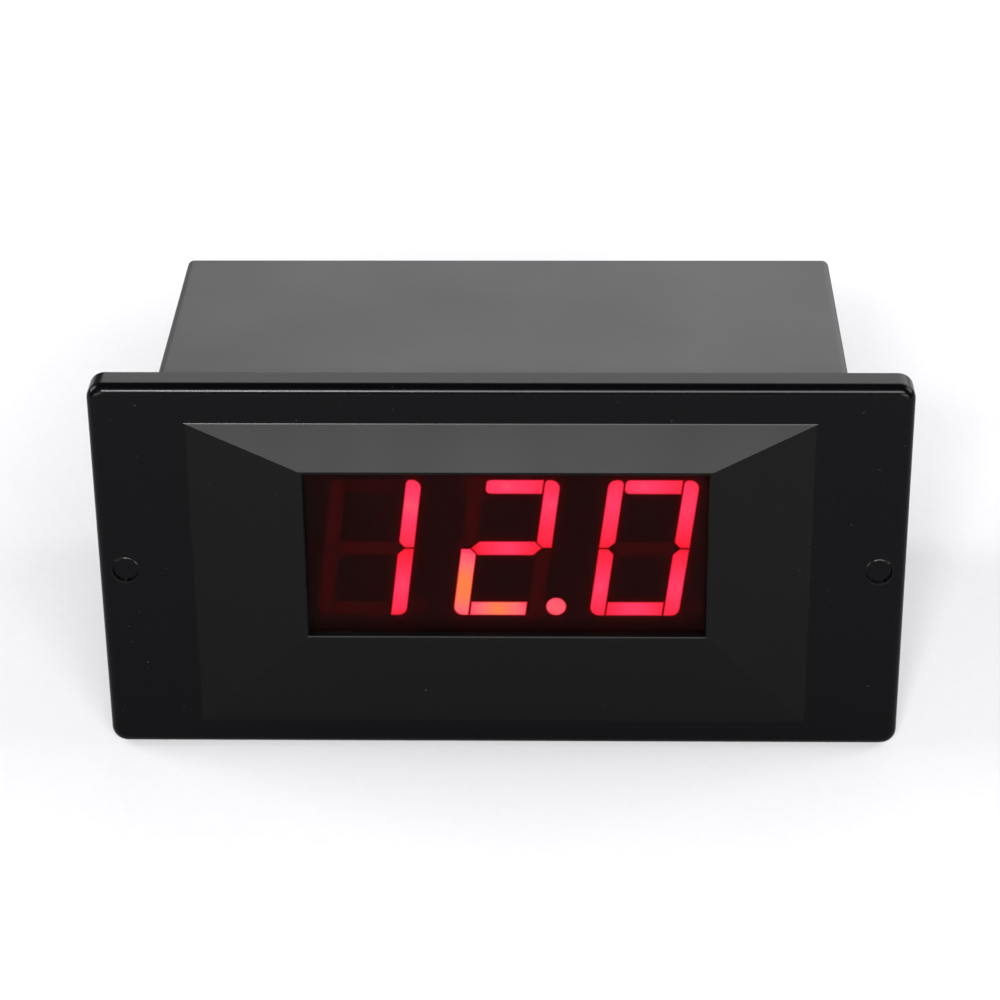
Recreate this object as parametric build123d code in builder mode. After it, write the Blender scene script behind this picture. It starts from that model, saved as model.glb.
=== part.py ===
from build123d import *
import os
from math import radians, tan

os.makedirs("parts", exist_ok=True)

# Digital panel meter with three glowing digits, pushed through a cut-out from the front.
# Lengths are in millimetres. The origin is the middle of the cut-out, in the plane of the bezel's
# back face. X runs right as seen from the front, Y runs into the panel and Z runs up.

# Bezel
bezel_width = 75.0
bezel_height = 38.0
bezel_thickness = 3.0
bezel_corner_radius = 1.5
bezel_edge_radius = 0.9
front_wall = 1.8
ear_mark_diameter = 2.4
ear_mark_depth = 0.3
ear_mark_margin = 2.5

# Raised surround, a low pyramid that carries the window at its top
surround_width = 57.6
surround_height = 31.7
surround_drop = 0.55
surround_rise = 2.2
window_right = 0.5
window_up = 2.7
window_rim = 0.35
window_lip = 0.8
window_cover_x = 0.35
window_cover_z = 1.1
window_edge_radius = 0.25

# Filter
filter_thickness = 1.0
filter_lap = 0.5
filter_play = 0.1

# Display, with the letters of the strokes that are lit in each digit, and p for a point
shown_letters = ("bc", "abdegp", "abcdef")
every_letter = "abcdefgp"
digit_pitch = 12.7
digit_height = 14.2
digit_width = 8.3
digit_slant_degrees = 7.0
segment_stroke = 1.4
segment_gap = 0.16
segment_depth = 1.2
segment_mitre_share = 0.4
outer_round_share = 0.58
inner_round_share = 0.32
point_diameter = 1.85
point_right = 5.35
display_trim = 0.5
display_height = 19.0
display_depth = 8.0
display_air = 0.1
display_play = 0.4
display_pin_width = 0.5
display_pin_thickness = 0.3
display_pin_pitch = 2.54
display_pin_spread = 15.24
display_pin_count = 6

# Case
case_width = 64.6
case_height = 31.4
case_depth = 33.3
case_wall = 1.6
case_corner_radius = 0.7
case_edge_radius = 0.35
case_inset = 0.5
case_inset_play = 0.1

# Spigot and snap tongues, which hold the bezel in the case
spigot_play = 0.1
spigot_wall = 1.2
spigot_length = 5.0
spigot_corner_radius = 0.6
tongue_spread = 32.0
tongue_width = 7.0
tongue_slit = 0.8
tongue_reach = 9.5
barb_height = 0.6
barb_length = 2.2
barb_setback = 0.3
pocket_depth = 0.9
pocket_play = 0.4

# Boards and their screws
board_thickness = 1.6
board_play = 0.3
display_board_gap = 0.3
board_clearance = 0.5
post_diameter = 4.6
post_inset_x = 2.9
post_inset_z = 2.8
post_bore = 2.0
post_bore_depth = 4.6
screw_play = 0.1
board_screw_head_diameter = 3.8
board_screw_head_height = 1.4
board_screw_hole = 2.4
board_screw_reach = 4.2
board_screw_head_round = 0.45
board_screw_recess_length = 1.9
board_screw_recess_width = 0.5
board_screw_recess_depth = 0.7
main_board_side_gap = 1.7
main_board_top = 3.2
main_board_start = 8.6
rail_grip = 0.8
rail_height = 1.3
rail_start = 11.0

# Header between the two boards
header_pitch = 2.54
header_count = 12
header_lift = 1.1
header_pin = 0.64
header_stub = 0.2
header_overhang = 1.9
header_tail = 1.3
pin_hole_play = 0.12

# Terminal bay and its four screw terminals
terminal_count = 4
terminal_pitch = 10.0
bay_depth = 11.0
bay_height = 14.2
bay_side_margin = 0.5
block_wall = 1.6
block_play = 0.1
collar_width = 1.0
collar_thickness = 1.0
barrier_thickness = 1.4
barrier_reach = 6.7
barrier_lift = 0.4
barrier_round = 1.0
terminal_thread_diameter = 3.0
thread_play = 0.05
flange_diameter = 7.4
flange_thickness = 0.8
barrel_diameter = 5.0
barrel_length = 5.0
barrel_play = 0.05
tab_width = 4.4
tab_thickness = 0.8
tab_foot = 2.6
tab_tip_width = 1.6
tab_tip_reach = 1.2
washer_side = 7.8
washer_thickness = 1.0
washer_corner_radius = 0.6
terminal_head_diameter = 6.0
terminal_head_height = 2.4
terminal_head_dome = 0.7
terminal_shank_length = 7.6
cross_width = 0.9
cross_length = 3.6
cross_depth = 1.4

# Parts on the main board
chip_length = 12.8
chip_width = 7.5
chip_height = 2.3
chip_lift = 0.2
chip_left = 4.0
chip_back = 24.0
chip_leg_count = 10
chip_leg_pitch = 1.27
chip_leg_width = 0.42
chip_leg_thickness = 0.25
chip_leg_shoulder = 0.5
chip_leg_foot = 0.9
chip_dimple_diameter = 1.1
chip_dimple_depth = 0.15
chip_dimple_inset = 1.27
leg_reach = 1.0
supply_can_diameter = 8.0
supply_can_height = 10.2
supply_can_wall_gap = 7.7
supply_can_back = 25.0
output_can_diameter = 5.0
output_can_height = 10.0
output_can_wall_gap = 6.7
output_can_back = 14.5
can_groove_radius = 0.35
can_groove_lift = 1.4
can_edge_radius = 0.5
can_vent_width = 0.3
can_vent_depth = 0.2
can_lead_spacing = 2.5
regulator_diameter = 4.7
regulator_flat = 1.3
regulator_height = 4.6
regulator_lift = 3.0
regulator_left = 14.5
regulator_back = 26.0
regulator_leg_pitch = 1.27
film_length = 7.2
film_width = 2.6
film_height = 6.6
film_edge_radius = 0.3
film_count = 3
film_pitch = 4.0
film_right = 10.0
film_back = 24.0
film_lead_spacing = 5.0
resistor_count = 3
resistor_pitch = 10.0
resistor_length = 6.2
resistor_diameter = 2.3
resistor_waist_diameter = 1.8
resistor_cap_length = 1.5
resistor_taper = 1.0
resistor_back = 13.9
lead_thickness = 0.5
lead_overhang = 1.0
diode_length = 5.0
diode_diameter = 2.6
diode_wall_gap = 4.7
diode_back = 18.0
trimmer_width = 4.83
trimmer_length = 9.53
trimmer_height = 10.0
trimmer_right = 20.0
trimmer_wall_gap = 2.0
trimmer_screw_diameter = 2.2
trimmer_screw_proud = 1.5
trimmer_screw_depth = 2.4
trimmer_screw_drop = 1.9
trimmer_screw_play = 0.05
trimmer_slot_width = 0.5
trimmer_slot_depth = 0.7
trimmer_leg_spacing = 2.54
trimmer_edge_radius = 0.4
trimmer_hole_diameter = 3.2

# Sliding clamps at the sides, which draw the bezel against the panel
track_root = 4.0
track_tip = 5.6
track_reach = 1.5
track_start = 3.0
track_end = 30.0
tooth_pitch = 1.5
tooth_depth = 0.4
clamp_play = 0.1
clamp_wall_gap = 0.2
clamp_reach = 3.7
clamp_height = 10.4
clamp_length = 9.0
clamp_foot_height = 15.0
clamp_foot_thickness = 1.5
clamp_foot_round = 1.0
clamp_start = 6.0
pawl_width = 3.2
pawl_length = 5.5
pawl_slit = 0.6
pawl_grip = 0.7

overrun = 1.0

# Sizes and places that follow from those above
digit_count = len(shown_letters)
display_width = digit_count * digit_pitch - display_trim
window_width = display_width - 2 * window_cover_x
window_height = display_height - 2 * window_cover_z
bezel_face = -bezel_thickness
surround_face = bezel_face - surround_rise
filter_front = surround_face + window_lip
filter_back = filter_front + filter_thickness
display_face = filter_back + display_air
display_back = display_face + display_depth
display_board_front = display_back + display_board_gap
display_board_back = display_board_front + board_thickness
main_board_bottom = main_board_top - board_thickness
back_wall_inside = case_depth - case_wall
side_wall_inside = case_width / 2 - case_wall
top_wall_inside = case_height / 2 - case_wall
spigot_width = case_width - 2 * case_wall - 2 * spigot_play
spigot_height = case_height - 2 * case_wall - 2 * spigot_play
spigot_inner_width = spigot_width - 2 * spigot_wall
spigot_inner_height = spigot_height - 2 * spigot_wall
post_spread_x = spigot_inner_width - 2 * post_inset_x
post_spread_z = spigot_inner_height - 2 * post_inset_z
main_board_width = 2 * (side_wall_inside - main_board_side_gap)
rail_reach = main_board_side_gap + rail_grip
supply_can_left = side_wall_inside - supply_can_wall_gap
output_can_left = side_wall_inside - output_can_wall_gap
diode_right = side_wall_inside - diode_wall_gap
bay_width = terminal_count * terminal_pitch + 2 * bay_side_margin
bay_floor = case_depth - bay_depth
bay_ceiling = -case_height / 2 + bay_height
terminal_height = (bay_ceiling - case_height / 2) / 2
slant_run = tan(radians(digit_slant_degrees))


def face_plane(depth):
    """The plane across the meter at a depth behind the bezel's back face, seen from the front."""
    return Plane.XZ.offset(-depth)


def board_plane(height):
    """A level plane at a height, for what stands on the main board."""
    return Plane.XY.offset(height)


def upright_plane(place_x, place_y, height):
    """The plane across the meter through a place on a board, with its own origin there."""
    return Plane(origin=(place_x, place_y, height), x_dir=(1, 0, 0), z_dir=(0, -1, 0))


# Bezel: flange, raised surround, window opening, hollow back, spigot, snap tongues and screw posts
with BuildPart() as bezel:
    with BuildSketch(face_plane(bezel_face)):
        RectangleRounded(bezel_width, bezel_height, bezel_corner_radius)
    extrude(amount=-bezel_thickness)
    front_outline = bezel.faces().sort_by(Axis.Y)[0].edges()
    fillet(front_outline, bezel_edge_radius)
    with BuildSketch(face_plane(bezel_face)):
        with Locations((0, -surround_drop)):
            Rectangle(surround_width, surround_height)
    with BuildSketch(face_plane(surround_face)):
        with Locations((window_right, window_up)):
            Rectangle(window_width + 2 * window_rim, window_height + 2 * window_rim)
    loft()
    # A shallow step in the back face takes the case's front edge
    with BuildSketch(face_plane(0)):
        RectangleRounded(
            case_width + 2 * case_inset_play,
            case_height + 2 * case_inset_play,
            case_corner_radius + case_inset_play,
        )
    extrude(amount=case_inset, mode=Mode.SUBTRACT)
    # The spigot's wall stands in that step
    with BuildSketch(face_plane(-case_inset)):
        RectangleRounded(spigot_width, spigot_height, spigot_corner_radius)
    extrude(amount=-spigot_length - case_inset)
    # The four snap tongues reach further than the spigot, at its top and bottom
    with BuildSketch(face_plane(-case_inset)):
        with GridLocations(tongue_spread, spigot_height - spigot_wall, 2, 2):
            Rectangle(tongue_width, spigot_wall)
    extrude(amount=-tongue_reach - case_inset)
    # Hollow back, which narrows towards the display
    with BuildSketch(face_plane(tongue_reach)):
        Rectangle(spigot_inner_width, spigot_inner_height)
    extrude(amount=tongue_reach + bezel_thickness - front_wall, mode=Mode.SUBTRACT)
    hollow_floor = front_wall - bezel_thickness
    with BuildSketch(face_plane(hollow_floor)):
        Rectangle(spigot_inner_width - 2 * spigot_wall, spigot_inner_height)
    with BuildSketch(face_plane(display_face)):
        with Locations((window_right, window_up)):
            Rectangle(display_width + 2 * display_play, display_height + 2 * display_play)
    loft(mode=Mode.SUBTRACT)
    # The display and the filter each have their own step in front of the hollow
    with BuildSketch(face_plane(hollow_floor)):
        with Locations((window_right, window_up)):
            Rectangle(display_width + 2 * display_play, display_height + 2 * display_play)
    extrude(amount=hollow_floor - filter_back, mode=Mode.SUBTRACT)
    with BuildSketch(face_plane(hollow_floor)):
        with Locations((window_right, window_up)):
            Rectangle(
                window_width + 2 * filter_lap + 2 * filter_play,
                window_height + 2 * filter_lap + 2 * filter_play,
            )
    extrude(amount=hollow_floor - filter_front, mode=Mode.SUBTRACT)
    with BuildSketch(face_plane(hollow_floor)):
        with Locations((window_right, window_up)):
            Rectangle(window_width, window_height)
    extrude(amount=hollow_floor - surround_face, mode=Mode.SUBTRACT)
    rim_face = bezel.faces().sort_by(Axis.Y)[0]
    fillet(rim_face.inner_wires().edges(), window_edge_radius)
    # Slits free each tongue down to the back face
    slit_spacing = tongue_width + tongue_slit
    with BuildSketch(face_plane(0)):
        with GridLocations(tongue_spread, spigot_height - spigot_wall, 2, 2):
            with GridLocations(slit_spacing, 0, 2, 1):
                Rectangle(tongue_slit, spigot_wall + 2 * spigot_play)
    extrude(amount=-spigot_length - overrun, mode=Mode.SUBTRACT)
    # Barbs: a ramp outwards and a square shoulder that catches in the case's pocket
    barb_tip = tongue_reach - barb_setback
    barb_shoulder = barb_tip - barb_length
    barb_root = spigot_height / 2
    for side in (-1, 1):
        for end in (-1, 1):
            with BuildSketch(Plane.YZ.offset(side * tongue_spread / 2 - tongue_width / 2)):
                with BuildLine():
                    Polyline(
                        (barb_shoulder, end * barb_root),
                        (barb_shoulder, end * (barb_root + barb_height)),
                        (barb_tip, end * barb_root),
                        close=True,
                    )
                make_face()
            extrude(amount=tongue_width)
    # Posts with pilot bores take the display board's screws
    with BuildSketch(face_plane(hollow_floor)):
        with GridLocations(post_spread_x, post_spread_z, 2, 2):
            Circle(post_diameter / 2)
    extrude(amount=-(display_board_front - hollow_floor))
    with BuildSketch(face_plane(display_board_front)):
        with GridLocations(post_spread_x, post_spread_z, 2, 2):
            Circle(post_bore / 2)
    extrude(amount=post_bore_depth, mode=Mode.SUBTRACT)
    # Shallow round marks in the two ears
    with BuildSketch(face_plane(bezel_face)):
        with GridLocations(bezel_width - 2 * ear_mark_margin, 0, 2, 1):
            Circle(ear_mark_diameter / 2)
    extrude(amount=-ear_mark_depth, mode=Mode.SUBTRACT)
bezel.part.label = "bezel"
export_step(bezel.part, "parts/bezel.step")

# Filter: a clear sheet behind the window opening
with BuildPart() as window_filter:
    with BuildSketch(face_plane(filter_front)):
        with Locations((window_right, window_up)):
            Rectangle(window_width + 2 * filter_lap, window_height + 2 * filter_lap)
    extrude(amount=-filter_thickness)
window_filter.part.label = "window_filter"
export_step(window_filter.part, "parts/window_filter.step")

# Case: five walls in one moulding, with an opening at its lower back for the terminal block
with BuildPart() as rear_case:
    with BuildSketch(face_plane(-case_inset)):
        RectangleRounded(case_width, case_height, case_corner_radius)
    extrude(amount=-case_depth - case_inset)
    back_outline = rear_case.faces().sort_by(Axis.Y)[-1].edges()
    fillet(back_outline, case_edge_radius)
    with BuildSketch(face_plane(-case_inset)):
        Rectangle(case_width - 2 * case_wall, case_height - 2 * case_wall)
    extrude(amount=-back_wall_inside - case_inset, mode=Mode.SUBTRACT)
    # The opening runs through the back wall and the lower wall
    with BuildSketch(face_plane(bay_floor - block_wall - block_play)):
        with Locations((0, bay_ceiling + block_wall + block_play)):
            Rectangle(
                bay_width + 2 * block_wall + 2 * block_play,
                bay_height + block_wall + block_play + overrun,
                align=(Align.CENTER, Align.MAX),
            )
    extrude(amount=-bay_depth - block_wall - block_play - overrun, mode=Mode.SUBTRACT)
    # Hole for the trimmer's screwdriver
    trimmer_screw_height = main_board_top + trimmer_height - trimmer_screw_drop
    with BuildSketch(face_plane(case_depth)):
        with Locations((trimmer_right, trimmer_screw_height)):
            Circle(trimmer_hole_diameter / 2)
    extrude(amount=case_wall, mode=Mode.SUBTRACT)
    # Rails at each side hold the main board's edges
    rail_length = back_wall_inside - rail_start
    for side in (-1, 1):
        with BuildSketch(face_plane(rail_start)):
            with Locations((side * (side_wall_inside - rail_reach / 2), main_board_bottom - spigot_play)):
                Rectangle(rail_reach, rail_height, align=(Align.CENTER, Align.MAX))
            with Locations((side * (side_wall_inside - rail_reach / 2), main_board_top + spigot_play)):
                Rectangle(rail_reach, rail_height, align=(Align.CENTER, Align.MIN))
        extrude(amount=-rail_length)
    # Pockets inside the top and bottom walls catch the bezel's barbs
    pocket_start = barb_shoulder - spigot_play
    pocket_length = barb_length + pocket_play
    with BuildSketch(face_plane(pocket_start)):
        with GridLocations(tongue_spread, 2 * top_wall_inside, 2, 2):
            Rectangle(tongue_width + 2 * pocket_play, 2 * pocket_depth)
    extrude(amount=-pocket_length, mode=Mode.SUBTRACT)
    # A dovetail track on each side, toothed along its outer face
    track_length = track_end - track_start
    tooth_count = int(track_length / tooth_pitch)
    for side in (-1, 1):
        track_face = side * (case_width / 2 + track_reach)
        with BuildSketch(face_plane(track_start)):
            with BuildLine():
                Polyline(
                    (side * case_width / 2, -track_root / 2),
                    (track_face, -track_tip / 2),
                    (track_face, track_tip / 2),
                    (side * case_width / 2, track_root / 2),
                    close=True,
                )
            make_face()
        extrude(amount=-track_length)
        with BuildSketch(board_plane(-track_tip / 2)):
            for number in range(tooth_count):
                tooth_start = track_start + number * tooth_pitch
                with BuildLine():
                    Polyline(
                        (track_face, tooth_start),
                        (track_face - side * tooth_depth, tooth_start + tooth_pitch),
                        (track_face, tooth_start + tooth_pitch),
                        close=True,
                    )
                make_face()
        extrude(amount=track_tip, mode=Mode.SUBTRACT)
rear_case.part.label = "rear_case"
export_step(rear_case.part, "parts/rear_case.step")

# Terminal block: the bay's walls and barriers in one moulding, which goes in from the case's front until
# its collar meets the back wall
with BuildPart() as terminal_block:
    with BuildSketch(face_plane(bay_floor - block_wall)):
        with Locations((0, bay_ceiling + block_wall)):
            Rectangle(bay_width + 2 * block_wall, bay_height + block_wall, align=(Align.CENTER, Align.MAX))
    extrude(amount=-bay_depth - block_wall)
    collar_top = bay_ceiling + block_wall + collar_width
    with BuildSketch(face_plane(back_wall_inside - collar_thickness)):
        with Locations((0, collar_top)):
            Rectangle(
                bay_width + 2 * block_wall + 2 * collar_width,
                collar_top + top_wall_inside - block_play,
                align=(Align.CENTER, Align.MAX),
            )
    extrude(amount=-collar_thickness)
    # The bay, open at the back and below
    with BuildSketch(face_plane(bay_floor)):
        with Locations((0, bay_ceiling)):
            Rectangle(bay_width, bay_height + overrun, align=(Align.CENTER, Align.MAX))
    extrude(amount=-bay_depth - overrun, mode=Mode.SUBTRACT)
    # Barriers between the terminals, with a rounded lower corner at their free end
    barrier_height = bay_height - barrier_lift
    barrier_count = terminal_count - 1
    for number in range(barrier_count):
        barrier_middle = (number - (barrier_count - 1) / 2) * terminal_pitch
        with BuildSketch(Plane.YZ.offset(barrier_middle - barrier_thickness / 2)):
            with Locations((bay_floor, bay_ceiling)):
                barrier = Rectangle(barrier_reach, barrier_height, align=(Align.MIN, Align.MAX))
            barrier_corner = barrier.vertices().sort_by(Axis.Z)[0:2].sort_by(Axis.Y)[-1]
            fillet(barrier_corner, barrier_round)
        extrude(amount=barrier_thickness)
    # Holes for the terminals' barrels
    with BuildSketch(face_plane(bay_floor)):
        with Locations((0, terminal_height)):
            with GridLocations(terminal_pitch, 0, terminal_count, 1):
                Circle(barrel_diameter / 2 + barrel_play)
    extrude(amount=block_wall, mode=Mode.SUBTRACT)
terminal_block.part.label = "terminal_block"
export_step(terminal_block.part, "parts/terminal_block.step")

# Side clamps: a dovetail channel rides the track, a foot bears on the panel, a pawl meets the teeth
clamp_inside = case_width / 2 + clamp_wall_gap
clamp_outside = case_width / 2 + clamp_reach
channel_root = track_root / 2 + clamp_play
channel_tip = track_tip / 2 + clamp_play
channel_face = case_width / 2 + track_reach + clamp_play
pawl_thickness = clamp_outside - channel_face
for name, side in (("panel_clamp_left", -1), ("panel_clamp_right", 1)):
    with BuildPart() as panel_clamp:
        with BuildSketch(face_plane(clamp_start)):
            with Locations((side * (clamp_inside + clamp_outside) / 2, 0)):
                RectangleRounded(clamp_outside - clamp_inside, clamp_height, clamp_foot_round)
        extrude(amount=-clamp_length)
        with BuildSketch(face_plane(clamp_start)):
            with Locations((side * (clamp_inside + clamp_outside) / 2, 0)):
                RectangleRounded(clamp_outside - clamp_inside, clamp_foot_height, clamp_foot_round)
        extrude(amount=-clamp_foot_thickness)
        # A raised grip across the free end of the pawl
        clamp_end = clamp_start + clamp_length
        with BuildSketch(board_plane(-pawl_width / 2)):
            with BuildLine():
                Polyline(
                    (side * clamp_outside, clamp_end - 2 * pawl_grip),
                    (side * (clamp_outside + pawl_grip), clamp_end),
                    (side * clamp_outside, clamp_end),
                    close=True,
                )
            make_face()
        extrude(amount=pawl_width)
        with BuildSketch(face_plane(clamp_start - overrun)):
            with BuildLine():
                Polyline(
                    (side * case_width / 2, -channel_root),
                    (side * channel_face, -channel_tip),
                    (side * channel_face, channel_tip),
                    (side * case_width / 2, channel_root),
                    close=True,
                )
            make_face()
        extrude(amount=-clamp_length - 2 * overrun, mode=Mode.SUBTRACT)
        # Two slits free the pawl from the clamp's outer wall
        pawl_start = clamp_start + clamp_length - pawl_length
        with BuildSketch(Plane.YZ.offset(side * channel_face)):
            with Locations((pawl_start + (pawl_length + overrun) / 2, 0)):
                with GridLocations(0, pawl_width + pawl_slit, 1, 2):
                    Rectangle(pawl_length + overrun, pawl_slit)
        extrude(amount=side * (pawl_thickness + overrun), both=True, mode=Mode.SUBTRACT)
    panel_clamp.part.label = name
    export_step(panel_clamp.part, "parts/" + name + ".step")

# Segments of one digit. Outlines are drawn upright about the digit's middle and leaned afterwards.
half_width = digit_width / 2
half_height = digit_height / 2
half_gap = segment_gap / 2
inner_side = half_width - segment_stroke
mitre = segment_mitre_share * segment_stroke
outer_round = outer_round_share * segment_stroke
inner_round = inner_round_share * segment_stroke
bar_tip = inner_side + mitre - half_gap
bar_shoulder = bar_tip - segment_stroke / 2


def lean(point):
    """Leans an upright point to the right, about the digit's middle height."""
    return (point[0] + point[1] * slant_run, point[1])


def upright_segment(side, end):
    """The corners of a side stroke, each with its radius. side is 1 at the right and end is 1 at the top."""
    inner_corner_round = inner_round if end > 0 else 0
    return [
        ((side * half_width, end * half_gap), 0),
        ((side * half_width, end * half_height), outer_round),
        ((side * inner_side, end * half_height), inner_corner_round),
        ((side * inner_side, end * (half_gap + mitre)), 0),
        ((side * (inner_side + mitre), end * half_gap), 0),
    ]


def level_segment(end):
    """The corners of the top or bottom stroke, which lies between the side strokes."""
    tip = inner_side - segment_gap
    left_round = inner_round if end > 0 else 0
    return [
        ((-tip, end * half_height), left_round),
        ((tip, end * half_height), 0),
        ((tip, end * (half_height - segment_stroke)), 0),
        ((-tip, end * (half_height - segment_stroke)), left_round),
    ]


def middle_segment():
    """The corners of the middle stroke, which is pointed at both ends."""
    return [
        ((bar_tip, 0), 0),
        ((bar_shoulder, segment_stroke / 2), 0),
        ((-bar_shoulder, segment_stroke / 2), 0),
        ((-bar_tip, 0), 0),
        ((-bar_shoulder, -segment_stroke / 2), 0),
        ((bar_shoulder, -segment_stroke / 2), 0),
    ]


segment_outlines = {
    "a": level_segment(1),
    "b": upright_segment(1, 1),
    "c": upright_segment(1, -1),
    "d": level_segment(-1),
    "e": upright_segment(-1, -1),
    "f": upright_segment(-1, 1),
    "g": middle_segment(),
}


def draw_segments(letters, middle_x):
    """Draws the named strokes of a digit, and p for its point, into the sketch that is open."""
    for letter in letters:
        if letter == "p":
            point_height = point_diameter / 2 - half_height
            with Locations((middle_x + point_right + point_height * slant_run, window_up + point_height)):
                Circle(point_diameter / 2)
            continue
        outline = [(lean(point), radius) for point, radius in segment_outlines[letter]]
        with BuildSketch(mode=Mode.PRIVATE) as stroke:
            with BuildLine():
                Polyline(*[point for point, radius in outline], close=True)
            make_face()
            for point, radius in outline:
                if radius > 0:
                    fillet(stroke.vertices().sort_by_distance((*point, 0))[0], radius)
        with Locations((middle_x, window_up)):
            add(stroke.sketch)


first_digit = window_right - (digit_count - 1) * digit_pitch / 2
digit_middles = [first_digit + number * digit_pitch for number in range(digit_count)]

for number, shown in enumerate(shown_letters):
    hidden = [letter for letter in every_letter if letter not in shown]
    for state, letters in (("lit", shown), ("unlit", hidden)):
        name = "digit_" + str(number + 1) + "_" + state
        with BuildPart() as strokes:
            with BuildSketch(face_plane(display_face)):
                draw_segments(letters, digit_middles[number])
            extrude(amount=-segment_depth)
        strokes.part.label = name
        export_step(strokes.part, "parts/" + name + ".step")

# Display housing: a block with a cavity for each stroke
with BuildPart() as display_housing:
    with BuildSketch(face_plane(display_face)):
        with Locations((window_right, window_up)):
            Rectangle(display_width, display_height)
    extrude(amount=-display_depth)
    with BuildSketch(face_plane(display_face)):
        for middle in digit_middles:
            draw_segments(every_letter, middle)
    extrude(amount=-segment_depth, mode=Mode.SUBTRACT)
display_housing.part.label = "display_housing"
export_step(display_housing.part, "parts/display_housing.step")

# Display pins: two rows that pass through the display board
pin_reach = display_board_back + leg_reach - display_back
with BuildPart() as display_pins:
    with BuildSketch(face_plane(display_back)):
        with Locations((window_right, window_up)):
            with GridLocations(display_pin_pitch, display_pin_spread, display_pin_count, 2):
                Rectangle(display_pin_width, display_pin_thickness)
    extrude(amount=-pin_reach)
display_pins.part.label = "display_pins"
export_step(display_pins.part, "parts/display_pins.step")

# Display board: screwed to the bezel's posts, with holes for the display's pins and the header
header_height = main_board_top + header_lift + header_pitch / 2
display_board_width = spigot_inner_width - 2 * board_play
display_board_height = spigot_inner_height - 2 * board_play
with BuildPart() as display_board:
    with BuildSketch(face_plane(display_board_front)):
        Rectangle(display_board_width, display_board_height)
        with GridLocations(post_spread_x, post_spread_z, 2, 2):
            Circle(board_screw_hole / 2, mode=Mode.SUBTRACT)
        with Locations((window_right, window_up)):
            with GridLocations(display_pin_pitch, display_pin_spread, display_pin_count, 2):
                Rectangle(
                    display_pin_width + 2 * pin_hole_play,
                    display_pin_thickness + 2 * pin_hole_play,
                    mode=Mode.SUBTRACT,
                )
        with Locations((0, header_height)):
            with GridLocations(header_pitch, 0, header_count, 1):
                Rectangle(header_pin + 2 * pin_hole_play, header_pin + 2 * pin_hole_play, mode=Mode.SUBTRACT)
    extrude(amount=-board_thickness)
display_board.part.label = "display_board"
export_step(display_board.part, "parts/display_board.step")

# Board screws: pan heads on the board's back, shanks in the posts
with BuildPart() as board_screws:
    with BuildSketch(face_plane(display_board_back)):
        with GridLocations(post_spread_x, post_spread_z, 2, 2):
            Circle(board_screw_head_diameter / 2)
    extrude(amount=-board_screw_head_height)
    head_rims = board_screws.edges().filter_by(GeomType.CIRCLE).group_by(Axis.Y)[-1]
    fillet(head_rims, board_screw_head_round)
    with BuildSketch(face_plane(display_board_back)):
        with GridLocations(post_spread_x, post_spread_z, 2, 2):
            Circle(post_bore / 2 - screw_play / 2)
    extrude(amount=board_screw_reach)
    with BuildSketch(face_plane(display_board_back + board_screw_head_height)):
        with GridLocations(post_spread_x, post_spread_z, 2, 2):
            Rectangle(board_screw_recess_length, board_screw_recess_width)
            Rectangle(board_screw_recess_width, board_screw_recess_length)
    extrude(amount=board_screw_recess_depth, mode=Mode.SUBTRACT)
board_screws.part.label = "board_screws"
export_step(board_screws.part, "parts/board_screws.step")

# Where leads pass down through the main board, each with the height that it starts from
main_board_end = back_wall_inside - board_clearance
main_board_length = main_board_end - main_board_start
header_drop = display_board_back + header_pitch + header_overhang
barrel_end = bay_floor - barrel_length
tab_middle = barrel_end - tab_thickness / 2
trimmer_back = back_wall_inside - trimmer_wall_gap
trimmer_middle = trimmer_back - trimmer_length / 2
first_resistor = -(resistor_count - 1) * resistor_pitch / 2
resistor_columns = [first_resistor + number * resistor_pitch for number in range(resistor_count)]
resistor_places = [(column, resistor_back) for column in resistor_columns]
first_film = film_right - (film_count - 1) * film_pitch / 2
film_places = [(first_film + number * film_pitch, film_back) for number in range(film_count)]
straight_leads = []
for side in (-1, 1):
    straight_leads.append((-supply_can_left + side * can_lead_spacing / 2, supply_can_back, main_board_top))
    straight_leads.append((-output_can_left + side * can_lead_spacing / 2, output_can_back, main_board_top))
    for place_x, place_y in film_places:
        straight_leads.append((place_x, place_y + side * film_lead_spacing / 2, main_board_top))
for step in (-1, 0, 1):
    regulator_bottom = main_board_top + regulator_lift
    straight_leads.append((-regulator_left + step * regulator_leg_pitch, regulator_back, regulator_bottom))
    straight_leads.append((trimmer_right, trimmer_middle + step * trimmer_leg_spacing, main_board_top))
resistor_lead_x = resistor_length / 2 + lead_overhang
diode_lead_y = diode_length / 2 + lead_overhang
bent_lead_places = [(x + side * resistor_lead_x, y) for x, y in resistor_places for side in (-1, 1)]
bent_lead_places += [(diode_right, diode_back + side * diode_lead_y) for side in (-1, 1)]

# Main board: slides between the case's rails, level behind the display board
lead_hole = lead_thickness + 2 * pin_hole_play
header_hole = header_pin + 2 * pin_hole_play
with BuildPart() as main_board:
    with BuildSketch(board_plane(main_board_bottom)):
        with Locations((0, main_board_start + main_board_length / 2)):
            Rectangle(main_board_width, main_board_length)
        with Locations((0, header_drop)):
            with GridLocations(header_pitch, 0, header_count, 1):
                Rectangle(header_hole, header_hole, mode=Mode.SUBTRACT)
        with Locations((0, tab_middle)):
            with GridLocations(terminal_pitch, 0, terminal_count, 1):
                Rectangle(
                    tab_tip_width + 2 * pin_hole_play,
                    tab_thickness + 2 * pin_hole_play,
                    mode=Mode.SUBTRACT,
                )
        with Locations(*[lead[:2] for lead in straight_leads], *bent_lead_places):
            Rectangle(lead_hole, lead_hole, mode=Mode.SUBTRACT)
    extrude(amount=board_thickness)
main_board.part.label = "main_board"
export_step(main_board.part, "parts/main_board.step")

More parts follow.
